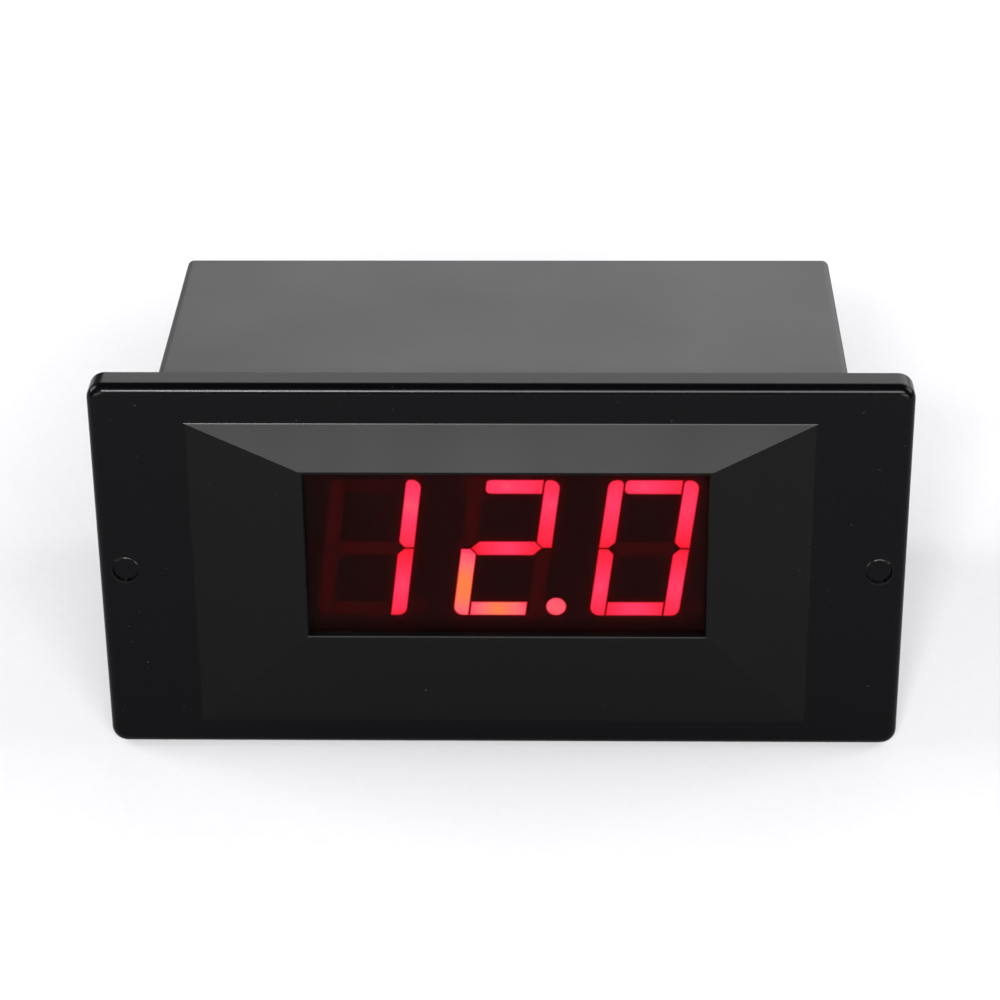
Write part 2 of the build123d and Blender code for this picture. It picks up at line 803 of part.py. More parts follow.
# Header: a moulded strip on the display board and pins that turn down into the main board
with BuildPart() as header_strip:
    with BuildSketch(face_plane(display_board_back)):
        with Locations((0, header_height)):
            Rectangle(header_count * header_pitch, header_pitch)
            with GridLocations(header_pitch, 0, header_count, 1):
                Rectangle(header_pin, header_pin, mode=Mode.SUBTRACT)
    extrude(amount=-header_pitch)
header_strip.part.label = "header_strip"
export_step(header_strip.part, "parts/header_strip.step")

pin_bottom = main_board_bottom - header_tail
with BuildPart() as header_pins:
    for number in range(header_count):
        pin_middle = (number - (header_count - 1) / 2) * header_pitch
        with BuildSketch(Plane.YZ.offset(pin_middle - header_pin / 2)):
            with BuildLine():
                Polyline(
                    (display_board_front - header_stub, header_height + header_pin / 2),
                    (header_drop + header_pin / 2, header_height + header_pin / 2),
                    (header_drop + header_pin / 2, pin_bottom),
                    (header_drop - header_pin / 2, pin_bottom),
                    (header_drop - header_pin / 2, header_height - header_pin / 2),
                    (display_board_front - header_stub, header_height - header_pin / 2),
                    close=True,
                )
            make_face()
        extrude(amount=header_pin)
header_pins.part.label = "header_pins"
export_step(header_pins.part, "parts/header_pins.step")

# Controller chip: drafted body with a dimple at its first leg, and gull-wing legs on both long sides
chip_bottom = main_board_top + chip_lift
chip_middle = chip_bottom + chip_height / 2
chip_front = chip_back - chip_width / 2
with BuildPart() as controller_chip:
    with BuildSketch(board_plane(chip_bottom)):
        with Locations((-chip_left, chip_back)):
            Rectangle(chip_length, chip_width)
    extrude(amount=chip_height)
    chip_top_edges = controller_chip.faces().sort_by(Axis.Z)[-1].edges()
    chamfer(chip_top_edges, chip_leg_thickness)
    with BuildSketch(board_plane(chip_bottom + chip_height)):
        with Locations((chip_dimple_inset - chip_left - chip_length / 2, chip_front + chip_dimple_inset)):
            Circle(chip_dimple_diameter / 2)
    extrude(amount=-chip_dimple_depth, mode=Mode.SUBTRACT)
controller_chip.part.label = "controller_chip"
export_step(controller_chip.part, "parts/controller_chip.step")

with BuildPart() as controller_legs:
    for number in range(chip_leg_count):
        leg_middle = -chip_left + (number - (chip_leg_count - 1) / 2) * chip_leg_pitch
        for side in (-1, 1):
            root = chip_back + side * chip_width / 2
            knee = root + side * chip_leg_shoulder
            toe = knee + side * chip_leg_foot
            bend = side * chip_leg_thickness
            with BuildSketch(Plane.YZ.offset(leg_middle - chip_leg_width / 2)):
                with BuildLine():
                    Polyline(
                        (root, chip_middle + chip_leg_thickness),
                        (knee + bend, chip_middle + chip_leg_thickness),
                        (knee + bend, main_board_top + chip_leg_thickness),
                        (toe, main_board_top + chip_leg_thickness),
                        (toe, main_board_top),
                        (knee, main_board_top),
                        (knee, chip_middle),
                        (root, chip_middle),
                        close=True,
                    )
                make_face()
            extrude(amount=chip_leg_width)
controller_legs.part.label = "controller_legs"
export_step(controller_legs.part, "parts/controller_legs.step")

# Electrolytic capacitors: rolled groove near the foot, rounded shoulder and a scored vent on top
for name, diameter, height, left, back in (
    ("supply_capacitor", supply_can_diameter, supply_can_height, supply_can_left, supply_can_back),
    ("output_capacitor", output_can_diameter, output_can_height, output_can_left, output_can_back),
):
    with BuildPart() as capacitor:
        with BuildSketch(upright_plane(-left, back, main_board_top)):
            with BuildLine():
                Line((0, 0), (diameter / 2, 0))
                Line((diameter / 2, 0), (diameter / 2, can_groove_lift - can_groove_radius))
                groove_waist = (diameter / 2 - can_groove_radius, can_groove_lift)
                groove_top = (diameter / 2, can_groove_lift + can_groove_radius)
                ThreePointArc((diameter / 2, can_groove_lift - can_groove_radius), groove_waist, groove_top)
                Line(groove_top, (diameter / 2, height))
                Line((diameter / 2, height), (0, height))
                Line((0, height), (0, 0))
            make_face()
        revolve(axis=Axis((-left, back, main_board_top), (0, 0, 1)))
        can_rim = capacitor.faces().sort_by(Axis.Z)[-1].edges()
        fillet(can_rim, can_edge_radius)
        with BuildSketch(board_plane(main_board_top + height)):
            with Locations((-left, back)):
                Rectangle(diameter / 2, can_vent_width)
                Rectangle(can_vent_width, diameter / 2)
        extrude(amount=-can_vent_depth, mode=Mode.SUBTRACT)
    capacitor.part.label = name
    export_step(capacitor.part, "parts/" + name + ".step")

# Regulator: a round body with one flat side, held up on its three legs
with BuildPart() as regulator:
    with BuildSketch(board_plane(main_board_top + regulator_lift)):
        with Locations((-regulator_left, regulator_back)):
            Circle(regulator_diameter / 2)
        with Locations((-regulator_left, regulator_back - regulator_flat)):
            Rectangle(
                regulator_diameter,
                regulator_diameter,
                align=(Align.CENTER, Align.MAX),
                mode=Mode.SUBTRACT,
            )
    extrude(amount=regulator_height)
regulator.part.label = "regulator"
export_step(regulator.part, "parts/regulator.step")

# Film capacitors: three boxes in a row
with BuildPart() as film_capacitors:
    with BuildSketch(board_plane(main_board_top)):
        with Locations(*film_places):
            RectangleRounded(film_width, film_length, film_edge_radius)
    extrude(amount=film_height)
    fillet(film_capacitors.faces().filter_by(Axis.Z).group_by(Axis.Z)[-1].edges(), film_edge_radius)
film_capacitors.part.label = "film_capacitors"
export_step(film_capacitors.part, "parts/film_capacitors.step")

# Resistors: fat end caps and a waist between them, lying on the board
resistor_axis_height = main_board_top + resistor_diameter / 2
waist_end = resistor_length / 2 - resistor_cap_length - resistor_taper
with BuildPart() as resistors:
    for place_x, place_y in resistor_places:
        with BuildSketch(upright_plane(place_x, place_y, resistor_axis_height)):
            with BuildLine():
                Polyline(
                    (-resistor_length / 2, 0),
                    (-resistor_length / 2, resistor_diameter / 2),
                    (resistor_cap_length - resistor_length / 2, resistor_diameter / 2),
                    (-waist_end, resistor_waist_diameter / 2),
                    (waist_end, resistor_waist_diameter / 2),
                    (resistor_length / 2 - resistor_cap_length, resistor_diameter / 2),
                    (resistor_length / 2, resistor_diameter / 2),
                    (resistor_length / 2, 0),
                    close=True,
                )
            make_face()
        revolve(axis=Axis((place_x, place_y, resistor_axis_height), (1, 0, 0)))
resistors.part.label = "resistors"
export_step(resistors.part, "parts/resistors.step")

# Diode: a plain barrel beside the trimmer
diode_axis_height = main_board_top + diode_diameter / 2
with BuildPart() as diode:
    with BuildSketch(face_plane(diode_back - diode_length / 2)):
        with Locations((diode_right, diode_axis_height)):
            Circle(diode_diameter / 2)
    extrude(amount=-diode_length)
    fillet(diode.edges().filter_by(GeomType.CIRCLE), lead_thickness / 2)
diode.part.label = "diode"
export_step(diode.part, "parts/diode.step")

# Leads: straight ones under what stands, bent ones at the ends of what lies
lead_bottom = main_board_bottom - leg_reach
with BuildPart() as component_leads:
    for place_x, place_y, top in straight_leads:
        with BuildSketch(board_plane(lead_bottom)):
            with Locations((place_x, place_y)):
                Rectangle(lead_thickness, lead_thickness)
        extrude(amount=top - lead_bottom)
    for place_x, place_y in resistor_places:
        for side in (-1, 1):
            end = side * resistor_length / 2
            drop = side * resistor_lead_x
            half = side * lead_thickness / 2
            with BuildSketch(upright_plane(place_x, place_y + lead_thickness / 2, 0)):
                with BuildLine():
                    Polyline(
                        (end, resistor_axis_height + lead_thickness / 2),
                        (drop + half, resistor_axis_height + lead_thickness / 2),
                        (drop + half, lead_bottom),
                        (drop - half, lead_bottom),
                        (drop - half, resistor_axis_height - lead_thickness / 2),
                        (end, resistor_axis_height - lead_thickness / 2),
                        close=True,
                    )
                make_face()
            extrude(amount=lead_thickness)
    for side in (-1, 1):
        end = diode_back + side * diode_length / 2
        drop = diode_back + side * diode_lead_y
        half = side * lead_thickness / 2
        with BuildSketch(Plane.YZ.offset(diode_right - lead_thickness / 2)):
            with BuildLine():
                Polyline(
                    (end, diode_axis_height + lead_thickness / 2),
                    (drop + half, diode_axis_height + lead_thickness / 2),
                    (drop + half, lead_bottom),
                    (drop - half, lead_bottom),
                    (drop - half, diode_axis_height - lead_thickness / 2),
                    (end, diode_axis_height - lead_thickness / 2),
                    close=True,
                )
            make_face()
        extrude(amount=lead_thickness)
component_leads.part.label = "component_leads"
export_step(component_leads.part, "parts/component_leads.step")

# Calibration trimmer: a box whose slotted screw faces the hole in the back wall
with BuildPart() as trimmer_body:
    with BuildSketch(board_plane(main_board_top)):
        with Locations((trimmer_right, trimmer_middle)):
            Rectangle(trimmer_width, trimmer_length)
    extrude(amount=trimmer_height)
    fillet(trimmer_body.edges().filter_by(Axis.Z), trimmer_edge_radius)
    with BuildSketch(face_plane(trimmer_back)):
        with Locations((trimmer_right, trimmer_screw_height)):
            Circle(trimmer_screw_diameter / 2 + trimmer_screw_play)
    extrude(amount=trimmer_screw_depth, mode=Mode.SUBTRACT)
trimmer_body.part.label = "trimmer_body"
export_step(trimmer_body.part, "parts/trimmer_body.step")

with BuildPart() as trimmer_screw:
    with BuildSketch(face_plane(trimmer_back - trimmer_screw_depth)):
        with Locations((trimmer_right, trimmer_screw_height)):
            Circle(trimmer_screw_diameter / 2)
    extrude(amount=-trimmer_screw_depth - trimmer_screw_proud)
    with BuildSketch(face_plane(trimmer_back + trimmer_screw_proud)):
        with Locations((trimmer_right, trimmer_screw_height)):
            Rectangle(trimmer_screw_diameter, trimmer_slot_width)
    extrude(amount=trimmer_slot_depth, mode=Mode.SUBTRACT)
trimmer_screw.part.label = "trimmer_screw"
export_step(trimmer_screw.part, "parts/trimmer_screw.step")

# Terminal bushes: a round flange on the bay's floor and a threaded barrel through the wall
thread_bore = terminal_thread_diameter / 2 + thread_play
with BuildPart() as terminal_bushes:
    with BuildSketch(face_plane(bay_floor)):
        with Locations((0, terminal_height)):
            with GridLocations(terminal_pitch, 0, terminal_count, 1):
                Circle(flange_diameter / 2)
    extrude(amount=-flange_thickness)
    with BuildSketch(face_plane(bay_floor)):
        with Locations((0, terminal_height)):
            with GridLocations(terminal_pitch, 0, terminal_count, 1):
                Circle(barrel_diameter / 2)
    extrude(amount=barrel_length)
    with BuildSketch(face_plane(barrel_end)):
        with Locations((0, terminal_height)):
            with GridLocations(terminal_pitch, 0, terminal_count, 1):
                Circle(thread_bore)
    extrude(amount=-barrel_length - flange_thickness, mode=Mode.SUBTRACT)
terminal_bushes.part.label = "terminal_bushes"
export_step(terminal_bushes.part, "parts/terminal_bushes.step")

# Solder tabs: flat strips from the barrels' ends up through the main board
tab_bottom = terminal_height - tab_foot
with BuildPart() as solder_tabs:
    with BuildSketch(face_plane(barrel_end)):
        with Locations((0, tab_bottom)):
            with GridLocations(terminal_pitch, 0, terminal_count, 1):
                Rectangle(tab_width, main_board_bottom - tab_bottom, align=(Align.CENTER, Align.MIN))
                tip_height = main_board_top + tab_tip_reach - tab_bottom
                Rectangle(tab_tip_width, tip_height, align=(Align.CENTER, Align.MIN))
        with Locations((0, terminal_height)):
            with GridLocations(terminal_pitch, 0, terminal_count, 1):
                Circle(thread_bore, mode=Mode.SUBTRACT)
    extrude(amount=tab_thickness)
solder_tabs.part.label = "solder_tabs"
export_step(solder_tabs.part, "parts/solder_tabs.step")

# Terminal screws, each with its captive square washer
washer_place = bay_floor + flange_thickness
head_place = washer_place + washer_thickness
for number in range(terminal_count):
    terminal_x = (number - (terminal_count - 1) / 2) * terminal_pitch
    with BuildPart() as terminal_washer:
        with BuildSketch(face_plane(washer_place)):
            with Locations((terminal_x, terminal_height)):
                RectangleRounded(washer_side, washer_side, washer_corner_radius)
                Circle(thread_bore, mode=Mode.SUBTRACT)
        extrude(amount=-washer_thickness)
    name = "terminal_washer_" + str(number + 1)
    terminal_washer.part.label = name
    export_step(terminal_washer.part, "parts/" + name + ".step")
    with BuildPart() as terminal_screw:
        with BuildSketch(face_plane(head_place)):
            with Locations((terminal_x, terminal_height)):
                Circle(terminal_head_diameter / 2)
        extrude(amount=-terminal_head_height)
        head_rim = terminal_screw.edges().filter_by(GeomType.CIRCLE).sort_by(Axis.Y)[-1]
        fillet(head_rim, terminal_head_dome)
        with BuildSketch(face_plane(head_place)):
            with Locations((terminal_x, terminal_height)):
                Circle(terminal_thread_diameter / 2)
        extrude(amount=terminal_shank_length)
        with BuildSketch(face_plane(head_place + terminal_head_height)):
            with Locations((terminal_x, terminal_height)):
                Rectangle(cross_length, cross_width)
                Rectangle(cross_width, cross_length)
        extrude(amount=cross_depth, mode=Mode.SUBTRACT)
    name = "terminal_screw_" + str(number + 1)
    terminal_screw.part.label = name
    export_step(terminal_screw.part, "parts/" + name + ".step")
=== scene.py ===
"""Dresses the digital panel meter: its moulded finishes, glowing digits, hidden parts, floor, lights and camera."""
from math import cos, exp, pi, radians, sin, tan

import bmesh
import bpy
from bpy.props import FloatProperty, FloatVectorProperty, PointerProperty
from bpy.types import NodeSocket, Operator, Panel, PropertyGroup
from mathutils import Matrix, Vector


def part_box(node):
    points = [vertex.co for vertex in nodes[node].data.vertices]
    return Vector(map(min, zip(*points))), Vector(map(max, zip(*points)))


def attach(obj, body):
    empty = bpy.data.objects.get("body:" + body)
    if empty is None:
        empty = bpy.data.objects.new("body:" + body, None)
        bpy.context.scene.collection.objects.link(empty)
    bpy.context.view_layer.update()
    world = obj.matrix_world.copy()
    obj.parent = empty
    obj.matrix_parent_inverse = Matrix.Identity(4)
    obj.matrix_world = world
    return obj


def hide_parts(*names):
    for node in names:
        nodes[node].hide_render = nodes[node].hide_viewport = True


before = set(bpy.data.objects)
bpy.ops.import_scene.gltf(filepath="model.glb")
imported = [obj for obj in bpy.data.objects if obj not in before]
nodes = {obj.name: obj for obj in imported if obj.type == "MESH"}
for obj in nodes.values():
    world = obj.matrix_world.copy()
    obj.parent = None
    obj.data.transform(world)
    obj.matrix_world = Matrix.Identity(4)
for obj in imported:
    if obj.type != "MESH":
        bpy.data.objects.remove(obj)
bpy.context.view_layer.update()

bl_info = {
    "name": "Digital panel meter",
    "version": (1, 0, 0),
    "blender": (4, 5, 0),
    "location": "3D View > Sidebar > Panel meter",
    "description": "Gives a digital panel meter its finishes, glowing digits, floor, lights and camera",
    "category": "Object",
}

MM = 0.001

# Strokes that are lit in each digit, from the left, with p for the point
LIT = ("bc", "abdegp", "abcdef")
# How strongly each unlit stroke shows its painted glow, which stands in for the light of its lit neighbours
DIM = (
    {"a": 0.45, "d": 0.8, "e": 0.75, "f": 0.9, "g": 1.0, "p": 0.6},
    {"c": 1.05, "f": 1.0},
    {"g": 0.95, "p": 0.4},
)
# Warmth of the glow at a stroke's ends and middle: 0 is red, 0.5 pink and 1 the lamp itself
HEAT_PLAIN = (0.02, 0.52)
HEAT = {(1, "e"): (0.5, 1.05), (1, "d"): (0.52, 1.0), (1, "p"): (0.6, 0.68), (0, "b"): (0.2, 0.6),
        (2, "a"): (0.15, 0.55), (2, "d"): (0.15, 0.55), (1, "a"): (0.2, 0.55)}
# How far the strokes stand in front of the housing, with the ink half-way
PROUD = 0.04 * MM
# Spacing of the points along a stroke's outline, and how many a decimal point has
OUTLINE_STEP = 0.6 * MM
POINT_SIDES = 32
# The ink film's grid, which carries the painted red glow: its cells, and the margin it leaves at the housing's edge
INK_STEP, INK_MARGIN = 0.2 * MM, 0.25 * MM
# Painted red glow on the ink round the lit strokes, as strength at a stroke's rim and reach in millimetres: a tight
# halo and a wide haze
HALO, HAZE = (0.06, 0.36), (0.0075, 3.2)

# The bezel's front face, the mark in its right ear as a place and a radius, and the width of the mark's lip
FLANGE_FACE = -3 * MM
EAR_MARK, EAR_MARK_RADIUS, EAR_LIP = (35 * MM, 3 * MM, 0.0), 1.2 * MM, 0.22 * MM
RESISTOR_PITCH = 10.0 * MM

# The paper: half its width, the spot that the meter stands on, and where its sweep starts and ends round that; the
# lift to white is painted lower on the spot, a painted shade round the meter
FLOOR_REACH = 1.6
FLOOR_SPOT, SPOT_EDGE, SWEEP_EDGE = (0.0, 15 * MM, 0.0), 50 * MM, 220 * MM
# Where the lights point, and by the name of its setting each one's name, place, width and height, in metres
AIM = (0, 0.015, 0)
SOFTBOXES = {
    "backdrop": ("softbox_backdrop", (0.22, 0.60, 0.30), 0.95, 0.45),
    "left": ("softbox_left", (-0.60, 0.08, 0.36), 0.4, 0.4),
    "right": ("softbox_right", (0.60, 0.08, 0.36), 0.4, 0.4),
    "low_left": ("softbox_low_left", (-0.32, -0.60, 0.03), 0.3, 0.1),
    "low_right": ("softbox_low_right", (0.32, -0.60, 0.03), 0.3, 0.1),
    "front": ("softbox_front", (0.08, -0.60, 0.345), 0.5, 0.18),
    "lamp": ("lamp_front_left", (-0.098, -0.55, 0.31), 0.08, 0.05),
}
# The camera, as fitted to the photograph: its place, its pitch, yaw and roll in degrees, and its lens
CAMERA_PLACE = (6.325 * MM, -251.869 * MM, 139.531 * MM)
CAMERA_TURNS = (27.941, -1.469, -0.562)
CAMERA_LENS, SENSOR_WIDTH = 110.65, 36.0
WHITE = (1.0, 1.0, 1.0, 1.0)


def to_linear(hex_colour):
    """An sRGB hex colour as linear red, green, blue and full alpha."""
    parts = [int(hex_colour[i:i + 2], 16) / 255 for i in (0, 2, 4)]
    return tuple(c / 12.92 if c <= 0.04045 else ((c + 0.055) / 1.055) ** 2.4 for c in parts) + (1.0,)


def colour_setting(name, description, hex_colour):
    """A colour that a user can change."""
    return FloatVectorProperty(
        name=name, description=description, default=to_linear(hex_colour), size=4, subtype="COLOR", min=0, max=1,
    )


class MeterDigits(PropertyGroup):
    """Sizes of the display's strokes, in metres"""

    height: FloatProperty(
        name="Digit height", description="Height of a digit", default=14.2 * MM, unit="LENGTH")
    width: FloatProperty(
        name="Digit width", description="Width of a digit, upright", default=8.3 * MM, unit="LENGTH")
    pitch: FloatProperty(
        name="Digit pitch", description="From one digit's middle to the next", default=12.7 * MM, unit="LENGTH")
    stroke: FloatProperty(
        name="Stroke width", description="Width of one stroke", default=1.4 * MM, unit="LENGTH")
    gap: FloatProperty(
        name="Stroke gap", description="Dark gap between two strokes", default=0.16 * MM, unit="LENGTH")
    slant: FloatProperty(
        name="Slant", description="How far the digits lean to the right", default=radians(7), subtype="ANGLE")
    point: FloatProperty(
        name="Point diameter", description="Diameter of a decimal point", default=1.85 * MM, unit="LENGTH")
    point_right: FloatProperty(
        name="Point place", description="From a digit's middle to its point", default=5.35 * MM, unit="LENGTH")
    middle_x: FloatProperty(
        name="Display middle, across", description="Middle of the display, to the right", default=0.5 * MM,
        unit="LENGTH")
    middle_z: FloatProperty(
        name="Display middle, up", description="Middle of the display, upwards", default=2.7 * MM, unit="LENGTH")


class MeterColours(PropertyGroup):
    """Colours of the finishes"""

    bezel: colour_setting("Bezel", "Glossy moulded ABS of the bezel", "020203")
    surround: colour_setting("Surround", "Satin slopes round the window", "030303")
    case: colour_setting("Case", "Matte moulded ABS of the case", "262627")
    filter: colour_setting("Filter", "Smoked red acrylic sheet", "bc6066")
    stroke_core: colour_setting("Lit stroke, middle", "Glow at the middle of a lit stroke", "ff7fc2")
    stroke_rim: colour_setting("Lit stroke, ends", "Glow at the ends of a lit stroke", "ff3a5c")
    stroke_edge: colour_setting("Lit stroke, rim", "Glow that leaks out at a lit stroke's rim", "ff1020")
    stroke_warm: colour_setting("Lit stroke, warm", "Glow round a lamp that nearly shows", "ffe0d8")
    hot_spot: colour_setting("Hot spot", "Where the lamp behind the resin shows through", "ffff8c")
    # Colour of the painted glow on the unlit strokes and on the ink round the lit strokes
    painted_glow_red: colour_setting("Painted stray light", "Light in unlit resin and in the ink round the strokes", "ff0500")
    floor: colour_setting("Floor", "Pale seamless floor", "a9a9ab")


class MeterLight(PropertyGroup):
    """Brightness of the lights"""

    backdrop: FloatProperty(name="Backdrop", description="Radiance of the large softbox behind", default=2.0, min=0)
    left: FloatProperty(name="Left", description="Radiance of the softbox at the left", default=10.5, min=0)
    right: FloatProperty(name="Right", description="Radiance of the softbox at the right", default=8, min=0)
    low_left: FloatProperty(name="Low left", description="Radiance of the low softbox in front at the left",
                            default=14, min=0)
    low_right: FloatProperty(name="Low right", description="Radiance of the low softbox in front at the right",
                             default=18, min=0)
    front: FloatProperty(name="Front", description="Radiance of the softbox above the camera", default=26, min=0)
    lamp: FloatProperty(name="Lamp", description="Radiance of the small lamp left of the camera", default=160, min=0)
    ambient: FloatProperty(name="Ambient", description="Radiance of the room", default=0.05, min=0)
    # Paper is the lift to white on the spot under the meter and sweep the lift round about; the lower lift on the
    # spot paints shade round the meter
    paper: FloatProperty(name="Paper", description="How far the floor is lifted to white for the eye", default=0.2,
                         min=0)
    sweep: FloatProperty(name="Sweep", description="The same, on the paper round about", default=0.95, min=0)
    mirrored: FloatProperty(name="Mirrored white", description="How much of the white a gloss surface mirrors",
                            default=0.1, min=0, max=1)
    glow: FloatProperty(name="Digit glow", description="Strength of the lit strokes", default=1.86, min=0)
    # The unlit strokes' glow is painted: it stands in for light from their lit neighbours
    haze: FloatProperty(name="Stray glow", description="Strength of the unlit strokes", default=0.045, min=0)


def put(tree, kind, inputs=None, **settings):
    """Adds a node and returns its outputs. settings are its own properties, and inputs are values or the sockets
    that feed it."""
    node = tree.nodes.new(kind)
    for name, value in settings.items():
        setattr(node, name, value)
    for name, value in (inputs or {}).items():
        if isinstance(value, NodeSocket):
            tree.links.new(value, node.inputs[name])
        else:
            node.inputs[name].default_value = value
    return node.outputs


def per_mm(size):
    """The texture scale, in metres, at which a noise's features measure about this many millimetres."""
    return 1 / (size * MM)


def start_finish(name, colour, roughness, **constants):
    """A new finish with its shader's plain values set. Returns the material, its tree and shader, and the place in
    the frame as a socket."""
    finish = bpy.data.materials.new(name)
    finish.use_nodes = True
    tree = finish.node_tree
    shader = tree.nodes["Principled BSDF"]
    shader.inputs["Base Color"].default_value = colour
    shader.inputs["Roughness"].default_value = roughness
    for label, value in constants.items():
        shader.inputs[label.replace("_", " ")].default_value = value
    place = put(tree, "ShaderNodeTexCoord")["Object"]
    return finish, tree, shader, place


def feed(tree, shader, **sockets):
    """Links sockets to the shader's inputs of those names."""
    for label, socket in sockets.items():
        tree.links.new(socket, shader.inputs[label.replace("_", " ")])


def grain(tree, place, size, depth, strength=1.0, detail=3.0):
    """A fine bump whose features measure size across and depth deep, in millimetres."""
    height = put(tree, "ShaderNodeTexNoise", {"Vector": place, "Scale": per_mm(size), "Detail": detail})["Fac"]
    return put(tree, "ShaderNodeBump", {"Height": height, "Distance": depth * MM, "Strength": strength})["Normal"]


def share_of_white(tree, mirrored):
    """How much of the white a ray meets: all of it from the camera or through the filter, and the share mirrored
    from a gloss surface, because the paper and room in front of the real one are less lit."""
    path = put(tree, "ShaderNodeLightPath")
    seen = put(tree, "ShaderNodeMath", {0: path["Is Camera Ray"], 1: path["Is Transmission Ray"]},
               operation="MAXIMUM")[0]
    dimmed = put(tree, "ShaderNodeMath", {0: path["Is Glossy Ray"], 1: mirrored}, operation="MULTIPLY")[0]
    return put(tree, "ShaderNodeMath", {0: seen, 1: dimmed}, operation="MAXIMUM")[0]


def link_piece(name, mesh, finish):
    """Turns a bmesh into an object with that finish, and frees the bmesh."""
    data = bpy.data.meshes.new(name)
    mesh.to_mesh(data)
    mesh.free()
    piece = bpy.data.objects.new(name, data)
    bpy.context.scene.collection.objects.link(piece)
    data.materials.append(finish)
    return piece


def dress(finish, *names):
    """Gives CAD nodes a finish."""
    for name in names:
        for slot in nodes[name].material_slots:
            slot.material = finish


def moulded_gloss_abs(colours):
    """Injection-moulded gloss ABS: a deep black mirror with a little orange peel on the flange, and satin on the
    raised surround, whose mould was left unpolished. Dust and handling leave faint specks."""
    finish, tree, shader, place = start_finish("Moulded gloss ABS", colours.bezel, 0.22, Specular_IOR_Level=0.1)
    depth = put(tree, "ShaderNodeSeparateXYZ", {"Vector": place})["Y"]
    # The surround stands in front of the flange's face
    raised = put(tree, "ShaderNodeMapRange", {
        "Value": depth, "From Min": FLANGE_FACE - 0.06 * MM, "From Max": FLANGE_FACE - 0.02 * MM,
        "To Min": 1.0, "To Max": 0.0})["Result"]
    clouds = put(tree, "ShaderNodeTexNoise", {"Vector": place, "Scale": per_mm(9.0)})["Fac"]
    satin = put(tree, "ShaderNodeMapRange", {"Value": clouds, "To Min": 0.38, "To Max": 0.46})["Result"]
    polished = put(tree, "ShaderNodeMapRange", {"Value": clouds, "To Min": 0.15, "To Max": 0.24})["Result"]
    black = put(tree, "ShaderNodeMix", {0: raised, 6: colours.bezel, 7: colours.surround}, data_type="RGBA")[2]
    # A soft lip stands round the mark in each ear, and its upper side catches the light
    folded = put(tree, "ShaderNodeVectorMath", {0: place}, operation="ABSOLUTE")["Vector"]
    away = put(tree, "ShaderNodeVectorMath", {0: folded, 1: EAR_MARK}, operation="DISTANCE")["Value"]
    lip = put(tree, "ShaderNodeMapRange", {
        "Value": away, "From Min": EAR_MARK_RADIUS, "From Max": EAR_MARK_RADIUS + EAR_LIP,
        "To Min": 1.0, "To Max": 0.0,
    }, interpolation_type="SMOOTHSTEP")["Result"]
    specks = put(tree, "ShaderNodeTexNoise", {"Vector": place, "Scale": per_mm(0.45), "Detail": 1.0})["Fac"]
    dust = put(tree, "ShaderNodeMapRange", {"Value": specks, "From Min": 0.79, "From Max": 0.84})["Result"]
    orange_peel = grain(tree, place, 0.7, 0.006, 0.5)
    feed(tree, shader,
         Roughness=put(tree, "ShaderNodeMix", {0: raised, 2: polished, 3: satin})[0],
         Base_Color=put(tree, "ShaderNodeMix", {0: dust, 6: black, 7: to_linear("242428")}, data_type="RGBA")[2],
         Normal=put(tree, "ShaderNodeBump", {
             "Height": lip, "Distance": 0.08 * MM, "Normal": orange_peel})["Normal"])
    return finish


def spark_textured_abs(colours):
    """ABS from a spark-eroded mould: an even matte black that turns grey at a low angle. The grain is about
    0.15 mm and is drawn at 0.3 mm so that it shows. Dust lies along the seam behind the bezel."""
    finish, tree, shader, place = start_finish("Spark textured ABS", colours.case, 0.5, Specular_IOR_Level=0.5)
    clouds = put(tree, "ShaderNodeTexNoise", {"Vector": place, "Scale": per_mm(14.0), "Detail": 3.0})["Fac"]
    depth = put(tree, "ShaderNodeSeparateXYZ", {"Vector": place})["Y"]
    near_seam = put(tree, "ShaderNodeMapRange", {
        "Value": depth, "From Min": 0.2 * MM, "From Max": 1.1 * MM, "To Min": 1.0, "To Max": 0.0})["Result"]
    specks = put(tree, "ShaderNodeTexNoise", {"Vector": place, "Scale": per_mm(0.35), "Detail": 1.0})["Fac"]
    sharp = put(tree, "ShaderNodeMapRange", {"Value": specks, "From Min": 0.6, "From Max": 0.66})["Result"]
    dust = put(tree, "ShaderNodeMath", {0: sharp, 1: near_seam}, operation="MULTIPLY", use_clamp=True)[0]
    feed(tree, shader,
         Roughness=put(tree, "ShaderNodeMapRange", {"Value": clouds, "To Min": 0.46, "To Max": 0.58})["Result"],
         Base_Color=put(tree, "ShaderNodeMix", {0: dust, 6: colours.case, 7: to_linear("6e6b66")},
                        data_type="RGBA")[2],
         Normal=grain(tree, place, 0.3, 0.02, 0.6))
    return finish


def smoked_acrylic(colours):
    """Cast acrylic sheet, dyed smoky red, with an anti-glare skin that mirrors very little: it darkens and
    reddens what lies behind. The skin is why its IOR is set below that of plain acrylic, 1.49."""
    finish, tree, shader, place = start_finish(
        "Smoked red acrylic", colours.filter, 0.02, IOR=1.12, Transmission_Weight=1.0)
    feed(tree, shader, Normal=grain(tree, place, 6.0, 0.004, 0.2))
    return finish


